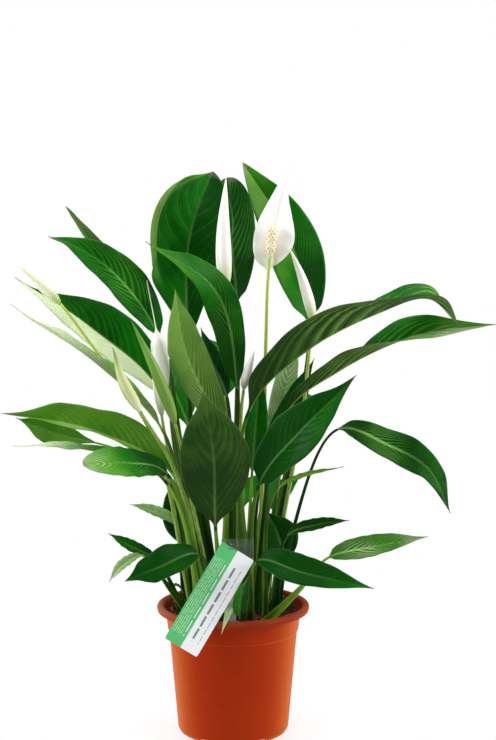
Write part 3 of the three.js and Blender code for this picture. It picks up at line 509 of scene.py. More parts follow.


# tone is (lightness, warmth, vein strength). Lightness is partly the blade's own green and partly painted
# light and shade, and above 1 it is a whitish painted sheen.
# halves lightens and shares widens the left and right half, and fade lightens the foot and the tip; halves
# and fade are partly the blade's own tone and partly painted light and shade on a lit or shaded half, foot or
# tip.
# curl rolls the margins over at a radius, turn twists the blade, and hook draws the tip aside; the roll value
# paints a sheen on the rolled left margin.
# acute slants the side veins, and stalkTone runs from dark (0) to yellow-green (1).
leaves = {
    "leaf_rear_tall_left": grown((-13, 17), [(-34, 24, 230)],
        [(-39, 30, 328), (-38, 45, 418), (-18, 75, 477)], 74, (0.15, 0.4, 0.2), (0.15, -1, 0.1), fold=16,
        curl=(4.2, 0), halves=(0.2, -0.05), spacing=16, tipSlim=0.0, fullness=1.1, rollFrom=0.68, curlAt=0.2,
        shares=(1.32, 0.95), belly=1.2, rollTone=0.5, rightForm=dict(belly=1.3, fullness=0.75)),
    "leaf_rear_tall_middle": grown((2, 28), [(3, 55, 240)], [(3, 75, 360), (-2, 72, 417), (-4, 88, 472)], 46,
        (0.05, 0.42, 1.2), (-0.1, -1, 0.1), acute=1.6, tipSlim=0.0, fullness=0.5, belly=1.25),
    "leaf_rear_tall_right": grown((22, 25), [(52, 50, 240)], [(66, 60, 343), (48, 85, 421), (8, 95, 485)], 50,
        (0.15, 0.42, 0.7), (0.1, -1, 0.15), halves=(0.45, 0.05), fade=(-0.35, 0.6), acute=2.2, spacing=7,
        tipSlim=0.1, fullness=0.82),
    "leaf_left_high_broad": grown((-23, 8), [(-45, 16, 240)],
        [(-62, 24, 333), (-103, 24, 392), (-154, 18, 426)], 38, (0.3, 0.4, 0.9), (0.3, -0.8, 0.5), acute=1.4,
        hook=(-2, 0, -4)),
    "leaf_left_high_narrow": grown((-22, 27), [(-50, 43, 230)],
        [(-66, 50, 339), (-104, 58, 389), (-144, 45, 447)], 22, (0.6, 0.6, 0.3), (0.4, -0.6, 0.7),
        tipSlim=0.1, fullness=0.7, dryFrom=0.3, dryTip=0.25),
    "leaf_left_mid_folded": grown((-33, -1), [], [(-57, -3, 285), (-120, 0, 347), (-180, -15, 389)], 50,
        (0.25, 0.4, 0.3), (0.1, -0.75, 0.65), halves=(1.5, 0.0), stalkTone=0.15, shares=(0.75, 1.1),
        sheath=0.5, rightForm=dict(tipFrom=0.45, tipSlim=0.97)),
    "leaf_left_mid_long": grown((-28, -10), [(-45, -22, 215)],
        [(-58, -30, 264), (-114, -46, 324), (-178, -56, 367)], 26, (1.2, 0.3, 2.2), (0.3, -0.1, 0.95),
        fold=45, acute=3.4, hook=(0, 0, 3), stalkTone=0.3, shares=(0.75, 0.9), fade=(-0.75, 0.75), spacing=6,
        sheath=0.5),
    "leaf_left_low_broad": grown((-28, -19), [], [(-47, -35, 224), (-114, -50, 267), (-186, -60, 282)], 46,
        (0.5, 0.7, 0.4), (0, -0.6, 0.8), fold=42, halves=(0.55, 0.0), stalkTone=0.7, shares=(0.42, 0.95),
        sheath=0.5, dryFrom=0.88, dryTip=0.95, wave=1.8),
    "leaf_left_low_edge": grown((-25, -28), [], [(-55, -40, 222), (-117, -44, 251), (-179, -52, 254)], 24,
        (0.2, 0.4, 0.3), (0, -0.1, 1), fold=5, fade=(-0.5, 1.9), stalkTone=0.55, sheath=0.5),
    "leaf_left_low_rear": small((-40, 6), [(-47, 6, 180), (-62, 0, 225)],
        [(-107, -8, 247), (-143, -19, 258), (-179, -30, 274)], 28, (0.7, 0.6, 0.3), (0, -0.8, 0.6),
        stalkTone=0.1, belly=1.4, fullness=1.5),
    "leaf_left_low_forward": grown((-17, -33), [], [(-52, -60, 231), (-82, -94, 247), (-114, -124, 250)], 36,
        (-0.6, 0.42, 1.0), (-0.2, -0.75, 0.65), fold=12, acute=1.8, stalkTone=0.3, fade=(0.0, 1.9),
        tipSlim=0.0, fullness=0.5, spacing=6, sheath=0.4, belly=1.05, wave=0.4, hook=(0, 2.2, 0)),
    "leaf_left_small_rear": small((-36, 10), [], [(-44, 14, 171), (-68, 17, 186), (-89, 18, 192)], 12,
        (1.3, 0.36, 0.2), stalkTone=0.05, girth=0.6),
    "leaf_left_small_outer": small((-42, -16), [], [(-62, -30, 152), (-85, -35, 167), (-103, -35, 178)], 13,
        (0.3, 0.4, 0.3), stalkTone=0.15),
    "leaf_left_small_front": small((-10, -37), [], [(-27, -50, 163), (-60, -74, 158), (-86, -86, 150)], 30,
        (0.15, 0.4, 0.25), (0, -0.75, 0.65), wave=2.2, stalkTone=0.1, sheath=0.5),
    "leaf_left_small_pale": small((-36, -27), [(-52, -36, 130)],
        [(-74, -48, 162), (-90, -55, 156), (-101, -60, 143)], 10, (1.35, 0.4, 0.1)),
    "leaf_left_rim_curl": small((-42, 1), [], [(-43, 3, 118), (-48, 0, 125), (-57, -5, 124)], 6,
        (0.7, 0.4, 0.2), (0, -0.3, 1), girth=0.5),
    "leaf_middle_young": grown((-9, -7), [], [(-9, -21, 252), (-38, -30, 328), (-47, -30, 380)], 37,
        (0.3, 0.72, 1.5), (0.3, 0.9, 0.2), halves=(0.1, 0.3), acute=2.8, spacing=8, stalkTone=0.6, sheath=0.7,
        fade=(-0.05, 0.3)),
    "leaf_middle_arching": grown((3, 0), [], [(4, -5, 292), (-13, -25, 377), (-69, -60, 420)], 31,
        (0.5, 0.45, 1.0), (-0.3, -0.7, 0.6), acute=2.2, tipSlim=0.75, fullness=0.8, spacing=8,
        fade=(-0.35, 0.1)),
    "leaf_middle_narrow": grown((-5, 6), [], [(-5, 8, 285), (-17, 5, 316), (-27, 0, 346)], 19,
        (0.2, 0.1, 0.5), (0, -1, 0.2), acute=1.5),
    "leaf_front_upright": grown((-7, -27), [], [(-14, -47, 185), (-15, -74, 250), (-23, -84, 303)], 60,
        (0.15, 0.45, 0.3), (0, 0.9, 0.4), spacing=13, stalkTone=0.45, fade=(-0.2, 0.3), acute=1.5),
    "leaf_right_high_arching": grown((13, -15), [],
        [(12, -30, 276), (54, -40, 326), (117, -51, 362), (158, -55, 374), (181, -56, 354)], 54,
        (0.1, 0.4, 1.7), (-0.3, 0.55, 0.75), turn=48, fold=38, quilt=2.6, spacing=20, acute=1.2,
        halves=(0.0, -0.1), fade=(0.0, 0.4), tipSlim=0.0, fullness=0.8),
    "leaf_right_high_long": grown((22, -3), [],
        [(43, 0, 271), (88, -8, 310), (152, -17, 341), (218, -25, 351)], 50, (0.05, 0.4, 1.4),
        (-0.3, 0.55, 0.75), turn=118, quilt=2, fold=46, spacing=16, acute=1.6, turnFrom=0.36,
        halves=(0.0, 0.5), shares=(1.0, 0.5), fade=(-0.8, 1.0)),
    "leaf_right_mid_front": grown((13, -27), [], [(21, -48, 219), (54, -75, 269), (96, -70, 310)], 45,
        (-0.1, 0.4, 0.25), (-0.2, -0.8, 0.55), hook=(3, 0, 4), stalkTone=0.1, halves=(0.0, 0.25),
        fade=(-0.25, 0.1)),
    "leaf_right_mid_drooping": grown((31, -7), [],
        [(86, -20, 262), (129, -38, 252), (161, -52, 234), (177, -60, 200)], 27, (0.0, 0.42, 2.0),
        (0.1, -0.9, 0.4), fold=8, acute=3.2, wave=2.0, stalkTone=-0.3, sheath=0.2, spacing=7, girth=0.7),
    "leaf_right_young_thread": small((27, -16), [(29, -20, 190)],
        [(38, -22, 213), (58, -28, 225), (92, -35, 234)], 6, (0.6, 0.75, 0.3), girth=0.5),
    "leaf_right_small_upper": small((35, -14), [], [(45, -18, 171), (71, -25, 183), (97, -30, 188)], 14,
        (0.1, 0.34, 0.4), stalkTone=0.05),
    "leaf_right_small_outer": small((30, -34), [(56, -40, 132)],
        [(78, -45, 159), (114, -60, 172), (157, -75, 184)], 22, (0.7, 0.2, 1.7), (0, -0.75, 0.65), acute=2.6,
        stalkTone=0.6, spacing=7),
    "leaf_right_small_front": small((14, -37), [], [(20, -60, 160), (58, -84, 156), (113, -94, 146)], 30,
        (-0.55, 0.4, 0.25), (0, -0.7, 0.7), stalkTone=0.3, fade=(0.0, 0.9)),
    "leaf_inner_left_low": small((-30, 22), [], [(-38, 25, 152), (-47, 28, 184), (-53, 28, 213)], 34,
        (0.1, 0.36, 0.3), (0, -1, 0.2)),
    "leaf_inner_right_low": small((37, 6), [], [(44, 9, 145), (38, 13, 168), (30, 14, 186)], 34,
        (0.1, 0.38, 0.3), (0, -1, 0.2), stalkTone=0.05),
    "leaf_inner_pale": small((14, 34), [], [(32, 37, 236), (45, 45, 292), (56, 48, 336)], 22,
        (1.25, 0.36, 0.7), (0, -1, 0.2), stalkTone=0.5),
    "leaf_inner_dark": small((12, 17), [], [(26, 26, 220), (49, 36, 271), (70, 38, 316)], 24,
        (0.0, 0.34, 0.3), (0, -1, 0.2), stalkTone=0.05),
    "leaf_inner_bright": small((11, -3), [], [(16, -5, 222), (20, 0, 268), (24, 0, 309)], 20,
        (0.3, 0.45, 0.4), (0, -1, 0.2), stalkTone=0.5),
    "leaf_front_young_upright": small((8, -50), [], [(6, -54, 111), (7, -57, 129), (13, -58, 147)], 13,
        (0.15, 0.5, 0.3), (0, -1, 0.1), halves=(0.5, 0.0), girth=0.5),
    "leaf_front_over_rim": small((-7, -45), [], [(-7, -50, 115), (-3, -59, 119.5), (-9, -73, 103)], 7,
        (1.4, 0.3, 0.1), (0, -0.7, 0.7), girth=0.5),
    "leaf_back_left_high": grown((-13, 30), [], [(-40, 72, 250), (-70, 115, 300), (-95, 145, 300)], 44,
        (0.35, 0.4, 0.6), (-0.3, 0.4, 0.8)),
    "leaf_back_middle_high": grown((-4, 38), [], [(-10, 88, 270), (-15, 135, 320), (-20, 185, 300)], 48,
        (0.3, 0.38, 0.7), (0, 0.4, 0.8)),
    "leaf_back_right_high": grown((25, 35), [], [(45, 80, 225), (66, 125, 268), (86, 168, 262)], 44,
        (0.4, 0.42, 0.5), (0.3, 0.4, 0.8)),
    "leaf_back_middle_low": small((5, 44), [], [(8, 80, 175), (9, 120, 195), (10, 160, 180)], 34,
        (0.4, 0.45, 0.6), (0, 0.4, 0.8)),
    "leaf_back_right_low": small((30, 42), [], [(38, 70, 170), (46, 110, 195), (50, 150, 180)], 30,
        (0.3, 0.4, 0.5), (0, 0.4, 0.8)),
}


# A blade's share of its full width along its length, from its neck to its drip tip
def bladeOutline(t, form):
    slim = form.tipSlim * smooth((t - form.tipFrom) / (1 - form.tipFrom))
    return np.sin(np.pi * t ** form.belly).clip(0) ** form.fullness * (1 - slim)


# Rings of a blade and the numbers that its finish reads, for shares t from neck to tip
def bladeRings(line, t, shares, radius, form, shift=(0, 0, 0), wing=0.0):
    hook = smooth((t - form.hookFrom) / (1 - form.hookFrom)) ** 2
    centre = line.at(shares) + np.array(shift) + hook[:, None] * np.array(form.hook)
    turn = form.turn * smooth((t - form.turnFrom) / form.turnOver)
    out, side = crossAxes(line.heading(shares), form.face, turn)
    u = np.linspace(-1, 1, 2 * form.across + 1)
    s = (u * (0.5 + 0.5 * u * u))[None, :]
    span, hand = np.abs(s), np.sign(s)
    t, radius, wing = t[:, None], radius[:, None], np.reshape(wing, (-1, 1))
    rng = random.Random(form.seed + form.width * 31 + int(form.face[0] * 10))
    uneven, phase = rng.uniform(-1, 1) * form.uneven, rng.uniform(0, 6)
    outline = 1 + hand * uneven + 0.4 * form.uneven * np.sin(9 * t + phase + 2 * hand)
    outline = outline * np.where(s < 0, bladeOutline(t, form), bladeOutline(t, Form(form, **form.rightForm)))
    half = np.maximum(form.width / 2 * outline * np.where(s < 0, *form.shares), radius)
    flat = smooth(t / form.flatFrom)
    lift = np.radians(form.fold * (1 - form.unfold * t))
    steps = np.linalg.norm(np.diff(centre, axis=0), axis=1)
    travelled = np.concatenate([[0], np.cumsum(steps)])[:, None]
    length = travelled[-1, 0]
    slant = min(0.75, form.acute * form.slant * form.width / 2 / length)
    alongVeins = travelled + length * slant * np.log(1 - form.veinCurve * span) / 3
    alongVeins = alongVeins + form.veinDrift * np.sin(alongVeins * 0.13 + phase + 2 * hand)
    body = np.sin(np.pi * t) * flat
    # the blade's own height over its chord: fold, arch, wave, ruffle and quilting between side veins
    rise = (np.sqrt(span**2 + 0.004) - 0.063) * half * np.sin(lift) - form.arch * half * span**2 * body
    other = np.where(s > 0, 1.9, 0.0)
    wave = form.wave * np.sin(t * form.waves + other) + form.ruffle * np.sin(t * 43 + phase + 2 * other)
    rise = rise + span**2 * np.sin(np.pi * t) * wave
    pillow = np.abs(np.sin(np.pi * alongVeins / form.spacing)) ** 0.7
    quilt = form.quiltHeight * form.quilt * np.minimum(1, half / 22)
    rise = rise + quilt * (pillow - 0.6) * np.sin(np.pi * span) ** 0.7 * body
    # margins rolled over at a radius
    rollRadius = np.where(s < 0, *form.curl)
    beyond = (span - form.rollFrom).clip(0) * half * smooth((t - form.curlAt) / 0.2) * smooth((1 - t) / 0.1)
    rolled = np.minimum(beyond, rollRadius * form.rollMost)
    bend = rolled / np.maximum(rollRadius, 0.1)
    flap = (beyond - rolled) * (rollRadius > 0)
    rollIn = (rollRadius * np.sin(bend) + flap * np.cos(bend) - beyond) * (rollRadius > 0)
    rollUp = rollRadius * (1 - np.cos(bend)) + flap * np.sin(bend)
    # the upper face with its groove and the under face with its rib, round where the stalk is
    thick = form.thickness * (1 - 0.45 * span**6)
    groove = form.groove * np.exp(-((s * half / form.grooveWidth) ** 2)) * flat
    rib = (form.rib * radius - thick / 2).clip(0.1) * np.exp(-((s * half / (radius + 0.4)) ** 2)) * flat
    angle = np.pi * (1 - (np.arange(s.size) + 0.5) / s.size)[None, :]
    stalkGroove = radius * (stalk.groove + 0.3 * wing) * np.exp(-((np.cos(angle) / stalk.grooveWide) ** 4))
    cup = stalk.cup * wing * radius * np.abs(np.cos(angle)) ** 3
    faces = []
    for sign, dent, dip in ((1, groove, stalkGroove), (-1, rib, 0)):
        flatX = (s * half + hand * rollIn) * np.cos(lift) - hand * np.sin(bend) * sign * thick / 2
        flatY = rise + rollUp + np.cos(bend) * sign * thick / 2 - dent
        x = (1 - flat) * radius * (1 + wing) * np.cos(angle) + flat * flatX
        y = (1 - flat) * ((sign * radius - dip) * np.sin(angle) + cup) + flat * flatY
        faces.append(centre[:, None] + side[:, None] * x[..., None] + out[:, None] * y[..., None])
    rings = np.concatenate([faces[0], faces[1][:, ::-1]], axis=1)
    dry = smooth((t - form.dryFrom) / (0.99 - form.dryFrom)) * form.dryTip
    marks = []
    for mark in (s * half / 100, alongVeins / form.spacing * 0.11, t, span, dry, hand):
        mark = np.broadcast_to(mark, rise.shape)
        marks.append(np.concatenate([mark, mark[:, ::-1]], axis=1))
    return rings, marks


def makeLeaf(node, leaf):
    footRadius, neckRadius = stalk.footRadius * leaf.girth, stalk.neckRadius * leaf.girth
    line, neck = lineOf(leaf.foot, leaf.stalk, leaf.points)
    # the stalk, from its root in the soil to the neck
    i = np.linspace(0, 1, stalk.steps + 1)[:-1]
    radius = footRadius + (neckRadius - footRadius) * np.sqrt(i)
    wing = stalk.sheath * leaf.sheath * (1 - smooth(i))
    stalkRings, stalkMarks = bladeRings(line, i * 0, i * neck, radius, leaf, wing=wing)
    stalkMarks[1] = stalkMarks[1] - stalkMarks[1].max()
    # the blade
    t = np.linspace(0, 1, leaf.along + 1)
    t = 0.7 * t + 0.3 * (0.5 - 0.5 * np.cos(np.pi * t))
    radius = neckRadius + (leaf.tipRadius - neckRadius) * np.sqrt(t)
    rings, marks = bladeRings(line, t, neck + (1 - neck) * t, radius, leaf)
    rings = np.concatenate([rootedFoot(stalkRings, line), stalkRings, rings])
    marks = [np.concatenate([low[:1], low, high]) for low, high in zip(stalkMarks, marks)]
    across, alongVeins, along, span, dry, hand = marks
    mesh = skinMesh(node, rings)
    setMap(mesh, "veins", across, alongVeins)
    setColors(mesh, "leafShape", along, span, dry)
    light, warm, strength = leaf.tone
    # the blade's own tone, with painted light and shade from halves and fade
    lights = light + np.where(hand < 0, *leaf.halves) + leaf.fade[0] * (1 - along) + leaf.fade[1] * along
    # painted sheen on the rolled-over left margin
    onRoll = smooth((span - leaf.rollFrom - 0.03) / 0.03) * smooth((along - leaf.curlAt) / 0.15)
    lights = lights + leaf.rollTone * (hand < 0) * onRoll
    lights[:len(stalkRings) + 1] = leaf.stalkTone + leaf.foot[0] % 7 * 0.03
    setColors(mesh, "leafTone", lights, np.full(hand.shape, warm), np.full(hand.shape, strength))
    # materials: 0 upper face, 1 under face, 2 stalk
    count = rings.shape[1]
    ring, place = np.divmod(np.arange((len(rings) - 1) * count), count)
    index = np.ones(len(mesh.polygons), np.int32)
    index[:len(ring)] = np.where(ring > len(stalkRings) + 2, place >= count // 2, 2)
    index[len(ring):len(ring) + count] = 2
    mesh.polygons.foreach_set("material_index", index)
    addPiece(node + "_skin", mesh, (bladeUpper, bladeUnder, leafStalk), node)


for node, leaf in leaves.items():
    makeLeaf(node, leaf)
print(len(leaves), "leaves grown")

stem = Form(footRadius=2.0, neckRadius=1.2, sides=20, steps=30, stipe=13.0, spatheGap=0.35)
bud = Form(belly=0.56, fullness=0.85, tipRadius=0.3, tailFrom=1.0, tailOver=0.06, sides=40, steps=60,
           overlap=0.16, seam=2.2, twist=1.1, oneNode=False)
spathe = Form(face=(-0.15, -1, 0.1), width=38, fold=16, behind=3.9, footRadius=1.0, along=110, across=18,
              quilt=0.35, belly=0.6, fullness=1.0, tipSlim=0.0, shares=(0.91, 1.0),
              rightForm=dict(belly=0.64, fullness=2.1), wave=0.8, spacing=6, dryTip=0.15)
spadix = Form(radius=4.35, length=27.0, seat=0.65, footShare=0.45, swell=2.2, roundFrom=0.75,
              roundOver=0.262, around=7, rows=11, floret=0.85, tilt=(0.05, -0.05, 1), sides=120,
              steps=156)
openFlower = Form(foot=(19, 13), stem=[(25, 16, 213), (28, 16, 338)],
                  spathe=[(30, 16, 391), (37, 23, 433), (49, 33, 483)])

# colors are those of the spathe's foot, body and tip
buds = {
    "flower_tall_bud": dict(
        foot=(-3, 17), stem=[(-6, 19, 260)], spathe=[(-7, 20, 377), (-8, 20, 427), (-6, 22, 471)],
        width=14, belly=0.5, colors=((206, 214, 170), (248, 243, 240), (240, 243, 222))),
    "flower_right_bud": dict(
        foot=(33, 20), stem=[(44, 25, 181), (59, 27, 264), (66, 32, 330)],
        spathe=[(68, 35, 350), (60, 40, 383), (48, 42, 412)],
        width=10, belly=0.5, colors=((196, 208, 150), (246, 243, 236), (232, 236, 204))),
    "flower_middle_bud": dict(
        foot=(4, -11), stem=[(5, -16, 220)], spathe=[(9, -21, 296), (13, -21, 313), (18, -20, 328)],
        width=8, colors=((190, 190, 160), (250, 246, 238), (246, 240, 230))),
    "flower_left_long_bud": dict(
        foot=(-35, -9), stem=[(-62, -13, 243), (-88, -24, 296), (-109, -30, 325)],
        spathe=[(-141, -30, 368), (-158, -32, 385), (-174, -34, 399)],
        width=9, colors=((176, 196, 104), (226, 230, 196), (222, 226, 190))),
    "flower_left_green_bud": dict(
        foot=(-20, -26), stem=[(-45, -49, 228)], spathe=[(-74, -60, 283), (-87, -66, 308), (-95, -70, 336)],
        width=10, colors=((226, 226, 196), (196, 206, 140), (96, 140, 28))),
    "flower_left_grey_bud": dict(
        foot=(-18, -2), stem=[], spathe=[(-59, -15, 271), (-60, -16, 321), (-71, -14, 386)],
        width=15, belly=0.8, fullness=0.8, tailFrom=0.6, tailOver=0.12,
        colors=((170, 184, 140), (236, 236, 226), (206, 208, 176))),
    "flower_left_rolled_bud": dict(
        foot=(-14, -17), stem=[(-31, -36, 191)], spathe=[(-47, -43, 271), (-61, -50, 312), (-81, -55, 356)],
        width=10.5, colors=((128, 160, 60), (108, 150, 40), (76, 126, 20)), oneNode=True),
}


def stemRings(line, neck):
    i = np.linspace(0, 1, stem.steps + 1)
    radii = stem.footRadius + (stem.neckRadius - stem.footRadius) * i
    rings = ringsAbout(line.at(i * neck), line.heading(i * neck), radii[:, None], turns(stem.sides))
    return np.concatenate([rootedFoot(rings, line), rings])


# Florets in a lattice round a blunt spike
def makeSpadix(node, heading, stipeTop):
    axis = unit(heading + np.array(spadix.tilt))
    t = np.linspace(0, 1, spadix.steps + 1)
    crown = np.sqrt(1 - np.maximum(0, (t - spadix.roundFrom) / spadix.roundOver) ** 2)
    radius = spadix.radius * np.minimum(1, spadix.footShare + spadix.swell * t) * crown
    angle = turns(spadix.sides)
    dome = np.maximum(0, np.cos(spadix.around * angle) * np.cos(np.pi * t * spadix.rows)[:, None]) ** 0.55
    reach = radius[:, None] + spadix.floret * (dome - 0.25) * np.minimum(1, radius / 2.2)[:, None]
    centre = stipeTop + axis * (spadix.seat + spadix.length * t[:, None])
    mesh = skinMesh(node, ringsAbout(centre, axis[None, :], reach, angle, (0, -1, 0)))
    setColors(mesh, "leafShape", dome, dome, dome * 0)
    addPiece(node + "_skin", mesh, (makeSpadixFinish(),), node)


def makeOpenFlower(node, flower):
    line, neck = lineOf(flower.foot, flower.stem, flower.spathe)
    heading = line.heading(neck)
    rings = stemRings(line, neck)
    mesh = skinMesh(node + "_stem", np.concatenate([rings, rings[-1:] + heading * stem.stipe]))
    addPiece(node + "_stem_skin", mesh, (flowerStem,), node + "_stem")
    # the spathe stands behind the spadix
    t = np.linspace(0, 1, spathe.along + 1)
    t = 0.6 * t + 0.4 * (0.5 - 0.5 * np.cos(np.pi * t))
    radius = spathe.footRadius + (blade.tipRadius - spathe.footRadius) * t
    sheet = Form(blade, **spathe)
    rings, marks = bladeRings(line, t, neck + (1 - neck) * t, radius, sheet, (0, sheet.behind, 0))
    mesh = skinMesh(node + "_spathe", rings)
    setMap(mesh, "veins", *marks[:2])
    setColors(mesh, "leafShape", *marks[2:5])
    white = makeSpatheFinish("openSpatheFinish", rgb(226, 232, 206), rgb(250, 250, 250), rgb(248, 249, 242))
    addPiece(node + "_spathe_skin", mesh, (white,), node + "_spathe")
    makeSpadix(node + "_spadix", heading[0], (line.at(neck) + heading * stem.stipe)[0])


# A closed spathe is a sheet rolled round itself, so its outer edge makes a slanting step.
def budMesh(node, line, neck, form):
    t = np.linspace(0, 1, form.steps + 1)
    t = 0.5 * t + 0.5 * (0.5 - 0.5 * np.cos(np.pi * t))
    swell = form.width / 2 * np.sin(np.pi * t ** form.belly).clip(0) ** form.fullness
    swell = swell * (1 - smooth((t - form.tailFrom) / form.tailOver))
    radius = np.maximum(swell, stem.neckRadius + (form.tipRadius - stem.neckRadius) * t)[:, None]
    shares, t = neck + (1 - neck) * t, t[:, None]
    winding = (np.arange(form.sides) / (form.sides - 1))[None, :]
    radii = radius * (1 - form.overlap * np.sin(np.pi * t) ** 0.5 * (1 - winding) ** 1.5)
    angle = form.seam + form.twist * t - 2 * np.pi * (winding * 0.985)
    lift = 0.0 if form.oneNode else stem.spatheGap
    centre = line.at(shares) + line.heading(neck) * lift
    mesh = skinMesh(node, ringsAbout(centre, line.heading(shares), radii, angle))
    along, winding = t + 0 * radii, winding + 0 * radii
    setColors(mesh, "leafShape", along, winding, 0.5 * ((winding > 0.96) | (winding < 0.02)))
    setMap(mesh, "veins", along, radii * (winding * 2 * np.pi) / 100)
    return mesh


# Adds a mesh to a piece, with the material index that it takes there
def joinMesh(piece, mesh, materialIndex):
    work = bmesh.new()
    work.from_mesh(piece.data)
    before = len(work.faces)
    work.from_mesh(mesh)
    work.faces.ensure_lookup_table()
    for face in work.faces[before:]:
        face.material_index = materialIndex
    work.to_mesh(piece.data)
    work.free()


def makeBud(node, row):
    form = Form(bud, **row)
    line, neck = lineOf(form.foot, form.stem, form.spathe)
    stemMesh = skinMesh(node + "_stem", stemRings(line, neck))
    mesh = budMesh(node, line, neck, form)
    finish = makeSpatheFinish(node + "Finish", *(rgb(*color) for color in form.colors))
    if form.oneNode:
        piece = addPiece(node + "_skin", mesh, (finish, flowerStem), node)
        joinMesh(piece, stemMesh, 1)
    else:
        addPiece(node + "_stem_skin", stemMesh, (flowerStem,), node + "_stem")
        addPiece(node + "_spathe_skin", mesh, (finish,), node + "_spathe")


makeOpenFlower("flower_open", openFlower)
for node, row in buds.items():
    makeBud(node, row)
print(len(buds) + 1, "flowers grown")

pot = Form(sides=180, wall=1.4, baseRadius=45.6, footRadius=47.4, footHeight=3.5, stepRadius=54.7,
           stepHeight=87.0, stepWidth=0.9, collarRadius=57.6, collarTop=102.8, lipDrop=2.6,
           rimRadius=65.0, mouthRadius=58.6, height=110.0)
drain = Form(discRadius=22.0, slope=2.0, channelRadius=40.5, channelHeight=3.0, floor=1.8, holes=8,
             holeRadius=3.5)
notch = Form(count=6, halfWidth=6.5, height=3.0)


# A profile of (radius, height) turned about Z, closed on the axis
def turned(name, profile, sides):
    profile = np.array(profile, float)
    angle = 2 * np.pi * np.arange(sides) / sides
    radius, height = profile[1:-1, :1], profile[1:-1, 1:]
    rings = np.stack([radius * np.cos(angle), radius * np.sin(angle), np.repeat(height, sides, 1)], -1)
    points = np.vstack([rings.reshape(-1, 3), [0, 0, profile[0, 1]], [0, 0, profile[-1, 1]]])
    return newMesh(name, points, skinFaces(len(radius), sides))


# Points that round a corner of a profile by a radius
def rounded(before, corner, after, radius, steps=3):
    before, corner, after = (np.array(p, float) for p in (before, corner, after))
    a, b = corner + unit(before - corner) * radius, corner + unit(after - corner) * radius
    t = np.linspace(0, 1, steps + 1)[:, None]
    return ((1 - t) ** 2 * a + 2 * t * (1 - t) * corner + t**2 * b).tolist()


def cylinderMesh(work, radius, depth, sides, place):
    made = bmesh.ops.create_cone(work, cap_ends=True, segments=sides,
                                 radius1=radius * mm, radius2=radius * mm, depth=depth * mm)
    bmesh.ops.translate(work, verts=made["verts"], vec=Vector(place) * mm)
    return made["verts"]


def potProfile():
    wall, collarTop, collar, step = pot.wall, pot.collarTop, pot.collarRadius, pot.stepRadius
    disc, channel, slope, low = drain.discRadius, drain.channelRadius, drain.slope, drain.channelHeight
    inner, floorTop = pot.footRadius - wall, low + drain.floor
    lipMiddle, lipHalf = (pot.rimRadius + pot.mouthRadius) / 2, (pot.rimRadius - pot.mouthRadius) / 2
    lip = [(lipMiddle + lipHalf * math.cos(a), pot.height - pot.lipDrop * (1 - math.sin(a)))
           for a in np.linspace(0, math.pi, 19)]
    outside = [(0, 0), (disc, 0), (disc + slope, low), (channel, low), (channel + slope, 0),
               (pot.baseRadius, 0), (pot.footRadius, pot.footHeight), (step, pot.stepHeight),
               (step + pot.stepWidth, pot.stepHeight + pot.stepWidth), (collar, collarTop),
               (collar + 2, collarTop + 1.5), (pot.rimRadius - 0.6, collarTop + 1.5)]
    inside = [(collar - wall, collarTop), (step - wall, pot.stepHeight), (inner, floorTop + 1),
              (inner - 1.2, floorTop), (disc + 1, floorTop), (disc - 1, drain.floor), (0, drain.floor)]
    whole = outside + lip + inside
    profile = [whole[0]]
    for i in range(1, len(whole) - 1):
        if len(outside) <= i < len(outside) + len(lip):
            profile.append(whole[i])
        else:
            near = min(math.dist(whole[i], whole[i - 1]), math.dist(whole[i], whole[i + 1]))
            profile += rounded(whole[i - 1], whole[i], whole[i + 1], min(0.8, near * 0.4))
    return profile + whole[-1:]


# Drain holes through the floor and arched notches under the foot
def potCuts():
    work = bmesh.new()
    holeCircle = (drain.discRadius + drain.slope + drain.channelRadius) / 2
    for i in range(drain.holes):
        angle = 2 * math.pi * (i + 0.5) / drain.holes
        place = (holeCircle * math.cos(angle), holeCircle * math.sin(angle), drain.channelHeight)
        cylinderMesh(work, drain.holeRadius, 12, 32, place)
    for i in range(notch.count):
        angle = 2 * math.pi * (i + 0.5) / notch.count
        for v in cylinderMesh(work, notch.halfWidth, 14, 48, (0, 0, 0)):
            x, y, z = v.co.x, v.co.z, v.co.y * notch.height / notch.halfWidth
            y += pot.baseRadius * mm
            v.co = (x * math.cos(angle) - y * math.sin(angle), x * math.sin(angle) + y * math.cos(angle), z)
    bmesh.ops.recalc_face_normals(work, faces=work.faces)
    mesh = bpy.data.meshes.new("potCuts")
    work.to_mesh(mesh)
    work.free()
    return mesh


def makePot():
    wall = turned("potWall", potProfile(), pot.sides)
    piece = addPiece("pot_skin", wall, (makePotFinish(),), "pot")
    cutter = bpy.data.objects.new("potCuts", potCuts())
    scene.collection.objects.link(cutter)
    cut = piece.modifiers.new("cuts", "BOOLEAN")
    cut.operation, cut.object, cut.solver = "DIFFERENCE", cutter, "EXACT"
    bpy.context.view_layer.update()
    cutDone = bpy.data.meshes.new_from_object(piece.evaluated_get(bpy.context.evaluated_depsgraph_get()))
    piece.modifiers.clear()
    piece.data = cutDone
    bpy.data.objects.remove(cutter)
    cutDone.shade_smooth()
    cutDone.set_sharp_from_angle(angle=math.radians(40))


makePot()
print("pot turned")

soil = Form(heap=3.2, heapFrom=40.0, gap=0.6, rings=70, sides=170, lumps=1.6, crumbs=560,
            crumbSize=(0.5, 1.9), roots=60, rootSides=7, seed=7)


def soilHeight(x, y):
    broad = 1.1 * np.sin(x * 0.21 + 1) * np.cos(y * 0.17 - x * 0.05)
    fine = np.sin(x * 0.9 + 2 * np.sin(y * 0.5)) * np.cos(y * 1.1 + 1.5 * np.sin(x * 0.7))
    heaped = soil.heap * smooth((np.hypot(x, y) - soil.heapFrom) / 14)
    return soilTop + broad + 0.35 * soil.lumps * fine + heaped


